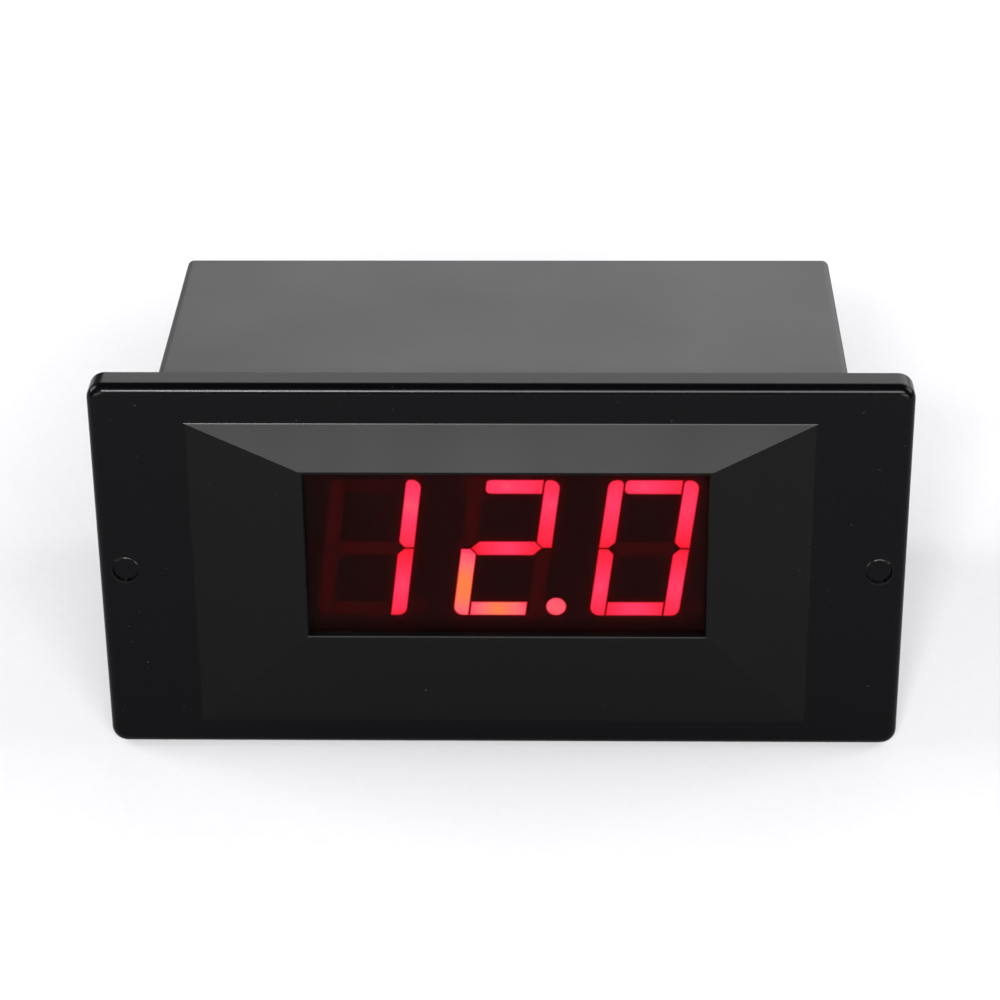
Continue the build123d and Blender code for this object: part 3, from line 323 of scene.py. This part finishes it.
def glowing_resin(colours, light):
    """Diffusing epoxy lit from behind by one lamp at each stroke's middle: pink there, redder towards its ends, and
    deep red at its rim. Where the resin is thin the lamp shows through as an orange spot."""
    finish, tree, shader, place = start_finish(
        "Glowing red resin", to_linear("5a0a10"), 0.35, Specular_IOR_Level=0.2)
    across = put(tree, "ShaderNodeAttribute", attribute_name="core")["Fac"]
    along = put(tree, "ShaderNodeAttribute", attribute_name="warmth")["Fac"]
    clouds = put(tree, "ShaderNodeTexNoise", {"Vector": place, "Scale": per_mm(1.3)})["Fac"]
    stir = put(tree, "ShaderNodeMapRange", {"Value": clouds, "To Min": -0.12, "To Max": 0.12})["Result"]
    heat = put(tree, "ShaderNodeMath", {0: along, 1: stir}, operation="ADD", use_clamp=True)[0]
    glow = put(tree, "ShaderNodeValToRGB", {"Fac": heat})["Color"]
    ramp = glow.node.color_ramp
    for number, (at, colour) in enumerate((
            (0.0, colours.stroke_rim), (0.5, colours.stroke_core), (0.72, colours.stroke_warm),
            (0.95, colours.hot_spot))):
        stop = ramp.elements[number] if number < 2 else ramp.elements.new(at)
        stop.position, stop.color = at, colour
    inner = put(tree, "ShaderNodeMapRange", {"Value": across, "From Min": 0.1, "From Max": 0.8})["Result"]
    rim = put(tree, "ShaderNodeMapRange", {
        "Value": across, "From Min": 0.0, "From Max": 0.7, "To Min": 0.06 * light.glow, "To Max": light.glow,
    }, interpolation_type="SMOOTHSTEP")["Result"]
    feed(tree, shader, Emission_Strength=rim,
         Emission_Color=put(tree, "ShaderNodeMix", {0: inner, 6: colours.stroke_edge, 7: glow}, data_type="RGBA")[2])
    return finish


def unlit_resin(colours, light):
    """The same resin with no lamp on: a painted dark red glow stands in for light from its lit neighbours."""
    finish, tree, shader, place = start_finish(
        "Unlit red resin", to_linear("120203"), 0.4, Specular_IOR_Level=0.1)
    across = put(tree, "ShaderNodeAttribute", attribute_name="core")["Fac"]
    clouds = put(tree, "ShaderNodeTexNoise", {"Vector": place, "Scale": per_mm(1.6)})["Fac"]
    haze = put(tree, "ShaderNodeMapRange", {
        "Value": clouds, "To Min": 0.75 * light.haze, "To Max": 1.25 * light.haze})["Result"]
    # Painted glow: the resin emits dark red in place of the light of its lit neighbours
    shader.inputs["Emission Color"].default_value = colours.painted_glow_red
    feed(tree, shader,
         Emission_Strength=put(tree, "ShaderNodeMath", {0: across, 1: haze}, operation="MULTIPLY")[0])
    return finish


def printed_face(colours):
    """The display's housing: black ink over moulded epoxy, a dull black that shows faint dust of pigment. The
    attribute stray holds a painted red glow that the ink emits round the lit strokes."""
    finish, tree, shader, place = start_finish(
        "Printed display face", to_linear("0a0607"), 0.6, Specular_IOR_Level=0.1)
    specks = put(tree, "ShaderNodeTexNoise", {"Vector": place, "Scale": per_mm(0.4)})["Fac"]
    stray = put(tree, "ShaderNodeAttribute", attribute_name="stray")["Fac"]
    # Painted glow: the ink emits red where the attribute says, in place of light leaking from the lit strokes
    shader.inputs["Emission Color"].default_value = colours.painted_glow_red
    feed(tree, shader, Emission_Strength=stray,
         Base_Color=put(tree, "ShaderNodeMix", {0: specks, 6: to_linear("060404"), 7: to_linear("100a0a")},
                        data_type="RGBA")[2],
         Roughness=put(tree, "ShaderNodeMapRange", {"Value": specks, "To Min": 0.56, "To Max": 0.66})["Result"])
    return finish


def moulded_epoxy():
    """Black epoxy and nylon of chips, headers and the terminal block: a dull, slightly sparkling grey-black."""
    finish, tree, shader, place = start_finish("Moulded black epoxy", to_linear("161616"), 0.5)
    sparkle = put(tree, "ShaderNodeTexNoise", {"Vector": place, "Scale": per_mm(0.25)})["Fac"]
    feed(tree, shader,
         Base_Color=put(tree, "ShaderNodeMix", {0: sparkle, 6: to_linear("101010"), 7: to_linear("1f1f1f")},
                        data_type="RGBA")[2],
         Roughness=put(tree, "ShaderNodeMapRange", {"Value": sparkle, "To Min": 0.42, "To Max": 0.6})["Result"],
         Normal=grain(tree, place, 0.3, 0.015, 0.5))
    return finish


def moulded_clamp_nylon():
    """Glass-filled nylon of the side clamps: satin black with a faint mottle where the fibres lie near the skin."""
    finish, tree, shader, place = start_finish("Moulded clamp nylon", to_linear("141414"), 0.45)
    clouds = put(tree, "ShaderNodeTexNoise", {"Vector": place, "Scale": per_mm(1.5), "Detail": 3.0})["Fac"]
    feed(tree, shader,
         Base_Color=put(tree, "ShaderNodeMix", {0: clouds, 6: to_linear("0f0f10"), 7: to_linear("1c1c1d")},
                        data_type="RGBA")[2],
         Roughness=put(tree, "ShaderNodeMapRange", {"Value": clouds, "To Min": 0.38, "To Max": 0.55})["Result"],
         Normal=grain(tree, place, 0.4, 0.015, 0.4))
    return finish


def solder_masked_board():
    """Glass-epoxy board under green mask: a glossy green, lighter where a copper track runs below it."""
    finish, tree, shader, place = start_finish("Solder masked board", to_linear("0f5a2c"), 0.32)
    # Tracks at 1.27 mm, as long and short runs
    tracks = put(tree, "ShaderNodeTexBrick", {
        "Vector": place, "Scale": per_mm(1.27) / 4, "Mortar Size": 0.03, "Brick Width": 3.1, "Row Height": 0.5,
        "Color1": to_linear("0e5228"), "Color2": to_linear("12602f"), "Mortar": to_linear("1f8a48")}, offset=0.37)
    feed(tree, shader, Base_Color=tracks["Color"], Normal=grain(tree, place, 0.5, 0.01, 0.3))
    return finish


def tinned_copper():
    """Tin over copper: pale grey metal with soft, uneven streaks."""
    finish, tree, shader, place = start_finish("Tinned copper", to_linear("c9c7c2"), 0.3, Metallic=1.0)
    streaks = put(tree, "ShaderNodeTexNoise", {"Vector": place, "Scale": per_mm(0.8), "Detail": 3.0})["Fac"]
    feed(tree, shader,
         Roughness=put(tree, "ShaderNodeMapRange", {"Value": streaks, "To Min": 0.22, "To Max": 0.42})["Result"],
         Base_Color=put(tree, "ShaderNodeMix", {0: streaks, 6: to_linear("b5b2ac"), 7: to_linear("d6d4cf")},
                        data_type="RGBA")[2])
    return finish


def nickel_plated_steel():
    """Nickel over turned steel: bright, faintly warm, with fine tool marks."""
    finish, tree, shader, place = start_finish("Nickel plated steel", to_linear("cdc8bd"), 0.24, Metallic=1.0)
    scuffs = put(tree, "ShaderNodeTexNoise", {"Vector": place, "Scale": per_mm(0.5), "Detail": 4.0})["Fac"]
    feed(tree, shader,
         Roughness=put(tree, "ShaderNodeMapRange", {"Value": scuffs, "To Min": 0.18, "To Max": 0.34})["Result"],
         Normal=grain(tree, place, 0.25, 0.004, 0.5))
    return finish


def zinc_plated_steel():
    """Zinc over steel: grey-blue metal, a little dull."""
    finish, tree, shader, place = start_finish("Zinc plated steel", to_linear("b4b9be"), 0.35, Metallic=1.0)
    scuffs = put(tree, "ShaderNodeTexNoise", {"Vector": place, "Scale": per_mm(0.6), "Detail": 4.0})["Fac"]
    feed(tree, shader,
         Roughness=put(tree, "ShaderNodeMapRange", {"Value": scuffs, "To Min": 0.28, "To Max": 0.46})["Result"])
    return finish


def turned_brass():
    """Turned brass: yellow metal with rings left by the tool, about 0.1 mm apart and drawn at 0.2 mm."""
    finish, tree, shader, place = start_finish("Turned brass", to_linear("c9a24e"), 0.28, Metallic=1.0)
    rings = put(tree, "ShaderNodeTexWave", {"Vector": place, "Scale": per_mm(0.2) / (2 * pi), "Distortion": 0.6},
                bands_direction="Y")["Fac"]
    feed(tree, shader,
         Normal=put(tree, "ShaderNodeBump", {"Height": rings, "Distance": 0.004 * MM, "Strength": 0.4})["Normal"],
         Roughness=put(tree, "ShaderNodeMapRange", {"Value": rings, "To Min": 0.22, "To Max": 0.36})["Result"])
    return finish


def shrunk_sleeve():
    """Shrunk PVC sleeve of a capacitor over its aluminium can: glossy blue-black with a pale stripe, and bare
    metal on top."""
    finish, tree, shader, place = start_finish("Shrunk PVC sleeve", to_linear("10172e"), 0.25)
    facing = put(tree, "ShaderNodeSeparateXYZ", {"Vector": put(tree, "ShaderNodeNewGeometry")["Normal"]})
    top = put(tree, "ShaderNodeMapRange", {"Value": facing["Z"], "From Min": 0.8, "From Max": 0.9})["Result"]
    stripe = put(tree, "ShaderNodeMapRange", {"Value": facing["X"], "From Min": 0.86, "From Max": 0.88})["Result"]
    sleeve = put(tree, "ShaderNodeMix", {0: stripe, 6: to_linear("10172e"), 7: to_linear("9aa3b5")},
                 data_type="RGBA")[2]
    clouds = put(tree, "ShaderNodeTexNoise", {"Vector": place, "Scale": per_mm(2.0)})["Fac"]
    feed(tree, shader, Metallic=top,
         Base_Color=put(tree, "ShaderNodeMix", {0: top, 6: sleeve, 7: to_linear("c4c6c8")}, data_type="RGBA")[2],
         Roughness=put(tree, "ShaderNodeMapRange", {"Value": clouds, "To Min": 0.2, "To Max": 0.34})["Result"])
    return finish


def dipped_epoxy():
    """Epoxy that the film capacitors are dipped in: glossy mustard with a skin that pools at the edges."""
    finish, tree, shader, place = start_finish("Dipped yellow epoxy", to_linear("c98f16"), 0.35)
    clouds = put(tree, "ShaderNodeTexNoise", {"Vector": place, "Scale": per_mm(2.5)})["Fac"]
    feed(tree, shader,
         Base_Color=put(tree, "ShaderNodeMix", {0: clouds, 6: to_linear("b87f10"), 7: to_linear("d9a02a")},
                        data_type="RGBA")[2],
         Normal=grain(tree, place, 1.5, 0.03, 0.4))
    return finish


def lacquered_resistor():
    """Lacquered metal-film resistor: sky-blue lacquer with coloured rings, 1.1 mm apart."""
    finish, tree, shader, place = start_finish("Lacquered resistor", to_linear("5b93b8"), 0.3)
    along = put(tree, "ShaderNodeSeparateXYZ", {"Vector": place})["X"]
    # One turn of this places the rings of all the resistors, which stand at even steps
    offset = put(tree, "ShaderNodeMath", {0: along, 1: -RESISTOR_PITCH / 2, 2: RESISTOR_PITCH / 2},
                 operation="WRAP")[0]
    colour = to_linear("5b93b8")
    for middle, ring in ((-2.2, "7a3b16"), (-1.1, "151515"), (0.0, "151515"), (1.1, "a5311c"), (2.2, "7a3b16")):
        band = put(tree, "ShaderNodeMath", {0: offset, 1: middle * MM, 2: 0.25 * MM}, operation="COMPARE")[0]
        colour = put(tree, "ShaderNodeMix", {0: band, 6: colour, 7: to_linear(ring)}, data_type="RGBA")[2]
    feed(tree, shader, Base_Color=colour, Normal=grain(tree, place, 1.2, 0.02, 0.3))
    return finish


def moulded_trimmer_nylon():
    """The trimmer's body: mid-blue moulded nylon with a soft sheen."""
    finish, tree, shader, place = start_finish("Moulded blue nylon", to_linear("1d4f9e"), 0.4)
    clouds = put(tree, "ShaderNodeTexNoise", {"Vector": place, "Scale": per_mm(1.8)})["Fac"]
    feed(tree, shader,
         Base_Color=put(tree, "ShaderNodeMix", {0: clouds, 6: to_linear("194690"), 7: to_linear("2459ac")},
                        data_type="RGBA")[2],
         Normal=grain(tree, place, 0.4, 0.01, 0.4))
    return finish


def seamless_floor(colours, light):
    """Pale seamless paper: it keeps the soft shadow, and the eye sees it as white, except for painted shade round
    the meter.
    """
    finish, tree, shader, place = start_finish("Seamless paper", colours.floor, 0.9, Specular_IOR_Level=0.1)
    shader.inputs["Emission Color"].default_value = WHITE
    shown = share_of_white(tree, light.mirrored)
    # Painted shade: the lift to white is weaker on the spot that the meter stands on than on the sweep behind and
    # around
    away = put(tree, "ShaderNodeVectorMath", {0: place, 1: FLOOR_SPOT}, operation="DISTANCE")["Value"]
    sweep = put(tree, "ShaderNodeMapRange", {
        "Value": away, "From Min": SPOT_EDGE, "From Max": SWEEP_EDGE, "To Min": light.paper, "To Max": light.sweep,
    }, interpolation_type="SMOOTHSTEP")["Result"]
    fibres = put(tree, "ShaderNodeTexNoise", {"Vector": place, "Scale": per_mm(1.0)})["Fac"]
    feed(tree, shader,
         Emission_Strength=put(tree, "ShaderNodeMath", {0: shown, 1: sweep}, operation="MULTIPLY")[0],
         Base_Color=put(tree, "ShaderNodeMix", {0: fibres, 6: colours.floor, 7: to_linear("a4a4a6")},
                        data_type="RGBA")[2])
    return finish


def rounded_outline(corners, steps=6):
    """Points along an outline in the display's plane, from corners that are each a place and a radius."""
    points = []
    for number, (place, radius) in enumerate(corners):
        if radius <= 0:
            points.append(place)
            continue
        before = (corners[number - 1][0] - place).normalized()
        after = (corners[(number + 1) % len(corners)][0] - place).normalized()
        half = before.angle(after) / 2
        centre = place + (before + after).normalized() * radius / sin(half)
        start, end = place + before * radius / tan(half), place + after * radius / tan(half)
        for step in range(steps + 1):
            arm = (start - centre).lerp(end - centre, step / steps).normalized() * radius
            points.append(centre + arm)
    return points


def stroke_outline(letter, sizes):
    """The outline of one stroke about its digit's middle, leaned as the display leans."""
    side_x, top_z = sizes.width / 2, sizes.height / 2
    stroke, gap = sizes.stroke, sizes.gap
    inner_x, mitre = side_x - stroke, 0.4 * stroke
    outer_round, inner_round = 0.58 * stroke, 0.32 * stroke
    tip, bar_tip = inner_x - gap, inner_x + mitre - gap / 2
    lean = tan(sizes.slant)
    if letter == "p":
        foot = sizes.point / 2 - top_z
        middle = Vector((sizes.point_right + foot * lean, foot))
        turns = [2 * pi * step / POINT_SIDES for step in range(POINT_SIDES)]
        return [middle + Vector((cos(turn), sin(turn))) * sizes.point / 2 for turn in turns]
    if letter in "bcef":
        side, end = (1 if letter in "bc" else -1), (1 if letter in "bf" else -1)
        corners = [
            ((side * side_x, end * gap / 2), 0),
            ((side * side_x, end * top_z), outer_round),
            ((side * inner_x, end * top_z), inner_round if end > 0 else 0),
            ((side * inner_x, end * (gap / 2 + mitre)), 0),
            ((side * (inner_x + mitre), end * gap / 2), 0),
        ]
    elif letter in "ad":
        end = 1 if letter == "a" else -1
        left_round = inner_round if end > 0 else 0
        corners = [
            ((-tip, end * top_z), left_round),
            ((tip, end * top_z), 0),
            ((tip, end * (top_z - stroke)), 0),
            ((-tip, end * (top_z - stroke)), left_round),
        ]
    else:
        shoulder = bar_tip - stroke / 2
        corners = [
            ((bar_tip, 0), 0), ((shoulder, stroke / 2), 0), ((-shoulder, stroke / 2), 0),
            ((-bar_tip, 0), 0), ((-shoulder, -stroke / 2), 0), ((shoulder, -stroke / 2), 0),
        ]
    return rounded_outline([(Vector((x + z * lean, z)), radius) for (x, z), radius in corners])


def shifted(points, distance):
    """The outline moved inwards by a distance, or outwards if it is negative."""
    area = sum(a.cross(b) for a, b in zip(points, points[1:] + points[:1]))
    turn = 1 if area > 0 else -1
    moved = []
    for number, point in enumerate(points):
        before = (point - points[number - 1]).normalized()
        after = (points[(number + 1) % len(points)] - point).normalized()
        first = Vector((-before.y, before.x)) * turn
        second = Vector((-after.y, after.x)) * turn
        middle = (first + second).normalized()
        # At a corner the point moves further, but never by more than twice the distance
        reach = distance / max(middle.dot(first), 0.5)
        moved.append(point + middle * reach)
    return moved


def cast_stroke(mesh, layers, letter, middle, sizes, face, depth, rings, heat):
    """Adds one stroke to the mesh. rings are how far each ring lies inside the outline and its core value, and heat
    is the glow's warmth at its ends and middle."""
    core, warmth = layers
    outline = []
    corners = stroke_outline(letter, sizes)
    for start, end in zip(corners, corners[1:] + corners[:1]):
        steps = max(1, round((end - start).length / OUTLINE_STEP))
        outline += [start.lerp(end, step / steps) for step in range(steps)]
    centre = sum(outline, Vector((0, 0))) / len(outline)
    reach = max((point - centre).length for point in outline)

    def place(point, y, value):
        vert = mesh.verts.new((middle.x + point.x, y, middle.y + point.y))
        vert[core] = value
        away = min((point - centre).length / reach, 1)
        vert[warmth] = heat[1] + (heat[0] - heat[1]) * away
        return vert

    loops = [[place(point, face + depth, rings[0][1]) for point in outline]]
    loops += [[place(point, face, value) for point in shifted(outline, inset)] for inset, value in rings]
    for outer, inner in zip(loops, loops[1:]):
        for number in range(len(outline)):
            following = (number + 1) % len(outline)
            mesh.faces.new((outer[number], outer[following], inner[following], inner[number]))
    hub = place(centre, face, rings[-1][1])
    for first, second in zip(loops[-1], loops[-1][1:] + loops[-1][:1]):
        mesh.faces.new((first, second, hub))
    mesh.faces.new(reversed(loops[0]))


def cast_digit(name, number, letters, values, rings, sizes, finish):
    """Builds one digit's strokes as a piece that replaces its CAD node."""
    low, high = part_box(name)
    mesh = bmesh.new()
    layers = mesh.verts.layers.float.new("core"), mesh.verts.layers.float.new("warmth")
    middle = Vector((sizes.middle_x + (number - 1) * sizes.pitch, sizes.middle_z))
    for letter in letters:
        scaled = [(inset, value * values.get(letter, 1.0)) for inset, value in rings]
        heat = HEAT.get((number, letter), HEAT_PLAIN)
        cast_stroke(mesh, layers, letter, middle, sizes, low.y - PROUD, high.y - low.y, scaled, heat)
    bmesh.ops.recalc_face_normals(mesh, faces=mesh.faces)
    piece = link_piece(name + "_resin", mesh, finish)
    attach(piece, "meter")
    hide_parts(name)
    return piece


def stroke_spines(sizes):
    """The middle line of every lit stroke, as two ends, in the display's plane."""
    side, top = (sizes.width - sizes.stroke) / 2, (sizes.height - sizes.stroke) / 2
    ends = {"a": ((-side, top), (side, top)), "b": ((side, 0), (side, top)), "c": ((side, 0), (side, -top)),
            "d": ((-side, -top), (side, -top)), "e": ((-side, 0), (-side, -top)), "f": ((-side, 0), (-side, top)),
            "g": ((-side, 0), (side, 0)), "p": ((sizes.point_right, -top), (sizes.point_right, -top))}
    lean = tan(sizes.slant)
    spines = []
    for number, shown in enumerate(LIT):
        middle = Vector((sizes.middle_x + (number - 1) * sizes.pitch, sizes.middle_z))
        for letter in shown:
            spines.append([middle + Vector((x + z * lean, z)) for x, z in ends[letter]])
    return spines


def painted_stray_light(point, spines, sizes):
    """How much painted red glow the ink gets at a point, in place of light leaking from the lit strokes."""
    nearest = 1.0
    for start, end in spines:
        run = end - start
        part = (point - start).dot(run) / run.length_squared if run.length > 0 else 0
        nearest = min(nearest, (start + run * min(max(part, 0), 1) - point).length - sizes.stroke / 2)
    gap = max(nearest, 0) / MM
    return sum(strength * exp(-(gap / reach) ** 2) for strength, reach in (HALO, HAZE))


def ink_with_painted_glow(name, sizes, finish):
    """A film of ink over the housing's front, as a fine grid that holds a painted red glow at each point."""
    low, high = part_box("display_housing")
    wide, tall = high.x - low.x - 2 * INK_MARGIN, high.z - low.z - 2 * INK_MARGIN
    columns, rows = round(wide / INK_STEP), round(tall / INK_STEP)
    spines = stroke_spines(sizes)
    mesh = bmesh.new()
    stray = mesh.verts.layers.float.new("stray")
    grid = []
    for row in range(rows + 1):
        z = low.z + INK_MARGIN + tall * row / rows
        line = []
        for column in range(columns + 1):
            x = low.x + INK_MARGIN + wide * column / columns
            vert = mesh.verts.new((x, low.y - PROUD / 2, z))
            vert[stray] = painted_stray_light(Vector((x, z)), spines, sizes)
            line.append(vert)
        grid.append(line)
    for lower, upper in zip(grid, grid[1:]):
        for number in range(columns):
            mesh.faces.new((lower[number], lower[number + 1], upper[number + 1], upper[number]))
    film = link_piece(name, mesh, finish)
    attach(film, "meter")
    return film


class METER_OT_housing(Operator):
    """Gives the bezel, case and clamps their moulded finishes"""

    bl_idname = "meter.housing"
    bl_label = "Bezel, case and clamps"

    def execute(self, context):
        colours = context.scene.meter_colours
        dress(moulded_gloss_abs(colours), "bezel")
        dress(spark_textured_abs(colours), "rear_case")
        dress(moulded_clamp_nylon(), "panel_clamp_left", "panel_clamp_right")
        return {"FINISHED"}


class METER_OT_display(Operator):
    """Casts the lit and unlit strokes and finishes the filter and the display's housing"""

    bl_idname = "meter.display"
    bl_label = "Display and filter"

    def execute(self, context):
        colours, light = context.scene.meter_colours, context.scene.meter_light
        sizes = context.scene.meter_digits
        dress(smoked_acrylic(colours), "window_filter")
        printed = printed_face(colours)
        dress(printed, "display_housing")
        # The ink film holds the painted red glow round the lit strokes
        ink = ink_with_painted_glow("display_ink_painted_glow", sizes, printed)
        glow, dark = glowing_resin(colours, light), unlit_resin(colours, light)
        lit_rings = ((-0.07 * MM, 0.0), (0.02 * MM, 0.45), (0.12 * MM, 0.8), (0.3 * MM, 0.95), (0.5 * MM, 1.0))
        dark_rings = ((-0.04 * MM, 0.3), (0.06 * MM, 0.85), (0.3 * MM, 1.0))
        for number, shown in enumerate(LIT):
            lit, unlit = f"digit_{number + 1}_lit", f"digit_{number + 1}_unlit"
            cast_digit(lit, number, shown, {}, lit_rings, sizes, glow)
            hidden = "".join(DIM[number])
            cast_digit(unlit, number, hidden, DIM[number], dark_rings, sizes, dark)
        return {"FINISHED"}


class METER_OT_electronics(Operator):
    """Gives the boards and what stands on them their finishes"""

    bl_idname = "meter.electronics"
    bl_label = "Boards and components"

    def execute(self, context):
        dress(solder_masked_board(), "display_board", "main_board")
        dress(moulded_epoxy(), "header_strip", "controller_chip", "regulator", "diode")
        dress(tinned_copper(), "display_pins", "header_pins", "controller_legs", "component_leads")
        dress(shrunk_sleeve(), "supply_capacitor", "output_capacitor")
        dress(dipped_epoxy(), "film_capacitors")
        dress(lacquered_resistor(), "resistors")
        dress(moulded_trimmer_nylon(), "trimmer_body")
        dress(zinc_plated_steel(), "board_screws")
        return {"FINISHED"}


class METER_OT_terminals(Operator):
    """Gives the terminal block, its screws and the trimmer's screw their finishes"""

    bl_idname = "meter.terminals"
    bl_label = "Terminals and trimmer screw"

    def execute(self, context):
        dress(moulded_epoxy(), "terminal_block")
        dress(turned_brass(), "terminal_bushes", "trimmer_screw")
        dress(tinned_copper(), "solder_tabs")
        plated = nickel_plated_steel()
        for number in range(1, 5):
            dress(plated, f"terminal_washer_{number}", f"terminal_screw_{number}")
        return {"FINISHED"}


def softbox(name, middle, width, height, radiance):
    """An area light of that radiance, which lights and mirrors but isn't seen itself. Lengths are in metres."""
    data = bpy.data.lights.new(name, "AREA")
    data.shape = "RECTANGLE"
    data.size, data.size_y = width, height
    data.energy = radiance * pi * width * height
    lamp = bpy.data.objects.new(name, data)
    bpy.context.scene.collection.objects.link(lamp)
    lamp.location = middle
    lamp.rotation_euler = (Vector(AIM) - Vector(middle)).to_track_quat("-Z", "Y").to_euler()
    lamp.visible_camera = False


class METER_OT_stage(Operator):
    """Lays the floor, sets the lights and the room, and places the camera"""

    bl_idname = "meter.stage"
    bl_label = "Floor, lights and camera"

    def execute(self, context):
        colours, light = context.scene.meter_colours, context.scene.meter_light
        # The meter rests on the bezel's lower edge and the case's lower back edge
        bezel_low, case_low, case_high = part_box("bezel")[0], *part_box("rear_case")
        front = Vector((0, 0, bezel_low.z))
        back = Vector((0, case_high.y, case_low.z))
        along = (back - front).normalized()
        data = bpy.data.meshes.new("floor")
        side, length = Vector((FLOOR_REACH, 0, 0)), along * FLOOR_REACH
        corners = [front - side - length, front + side - length, front + side + length, front - side + length]
        data.from_pydata([tuple(corner) for corner in corners], [], [(0, 1, 2, 3)])
        floor = bpy.data.objects.new("floor", data)
        context.scene.collection.objects.link(floor)
        data.materials.append(seamless_floor(colours, light))

        for setting, (name, middle, width, height) in SOFTBOXES.items():
            softbox(name, middle, width, height, getattr(light, setting))

        world = bpy.data.worlds.new("Room")
        context.scene.world = world
        world.use_nodes = True
        tree = world.node_tree
        shown = share_of_white(tree, light.mirrored)
        strength = put(tree, "ShaderNodeMapRange", {"Value": shown, "To Min": light.ambient, "To Max": 1.0})
        room = tree.nodes["Background"]
        room.inputs["Color"].default_value = WHITE
        tree.links.new(strength["Result"], room.inputs["Strength"])

        lens = bpy.data.cameras.new("camera")
        lens.sensor_width = SENSOR_WIDTH
        lens.sensor_fit = "HORIZONTAL"
        lens.lens = CAMERA_LENS
        lens.clip_start, lens.clip_end = 0.01, 10.0
        camera = bpy.data.objects.new("camera", lens)
        context.scene.collection.objects.link(camera)
        pitch, yaw, roll = (radians(turn) for turn in CAMERA_TURNS)
        forward = Vector((sin(yaw) * cos(pitch), cos(yaw) * cos(pitch), -sin(pitch)))
        right = Vector((cos(yaw), -sin(yaw), 0))
        up = right.cross(forward)
        turned_right = right * cos(roll) + up * sin(roll)
        turned_up = up * cos(roll) - right * sin(roll)
        turned = Matrix((turned_right, turned_up, -forward)).transposed().to_4x4()
        camera.matrix_world = Matrix.Translation(Vector(CAMERA_PLACE)) @ turned
        context.scene.camera = camera
        context.scene.view_settings.view_transform = "Standard"
        return {"FINISHED"}


class METER_PT_sidebar(Panel):
    """Lists the steps that dress the meter"""

    bl_idname = "METER_PT_sidebar"
    bl_label = "Digital panel meter"
    bl_space_type = "VIEW_3D"
    bl_region_type = "UI"
    bl_category = "Panel meter"

    def draw(self, context):
        for step in STEPS:
            self.layout.operator(step.bl_idname)
        for group in ("meter_digits", "meter_colours", "meter_light"):
            settings = getattr(context.scene, group)
            box = self.layout.box()
            for name in settings.__annotations__:
                box.prop(settings, name)


STEPS = (METER_OT_housing, METER_OT_display, METER_OT_electronics, METER_OT_terminals, METER_OT_stage)
CLASSES = (MeterDigits, MeterColours, MeterLight, *STEPS, METER_PT_sidebar)


def register():
    for item in CLASSES:
        bpy.utils.register_class(item)
    bpy.types.Scene.meter_digits = PointerProperty(type=MeterDigits)
    bpy.types.Scene.meter_colours = PointerProperty(type=MeterColours)
    bpy.types.Scene.meter_light = PointerProperty(type=MeterLight)


def unregister():
    del bpy.types.Scene.meter_light
    del bpy.types.Scene.meter_colours
    del bpy.types.Scene.meter_digits
    for item in reversed(CLASSES):
        bpy.utils.unregister_class(item)


def main():
    """Runs every step in order."""
    register()
    bpy.ops.meter.housing()
    bpy.ops.meter.display()
    bpy.ops.meter.electronics()
    bpy.ops.meter.terminals()
    bpy.ops.meter.stage()


if __name__ == "__main__":
    main()
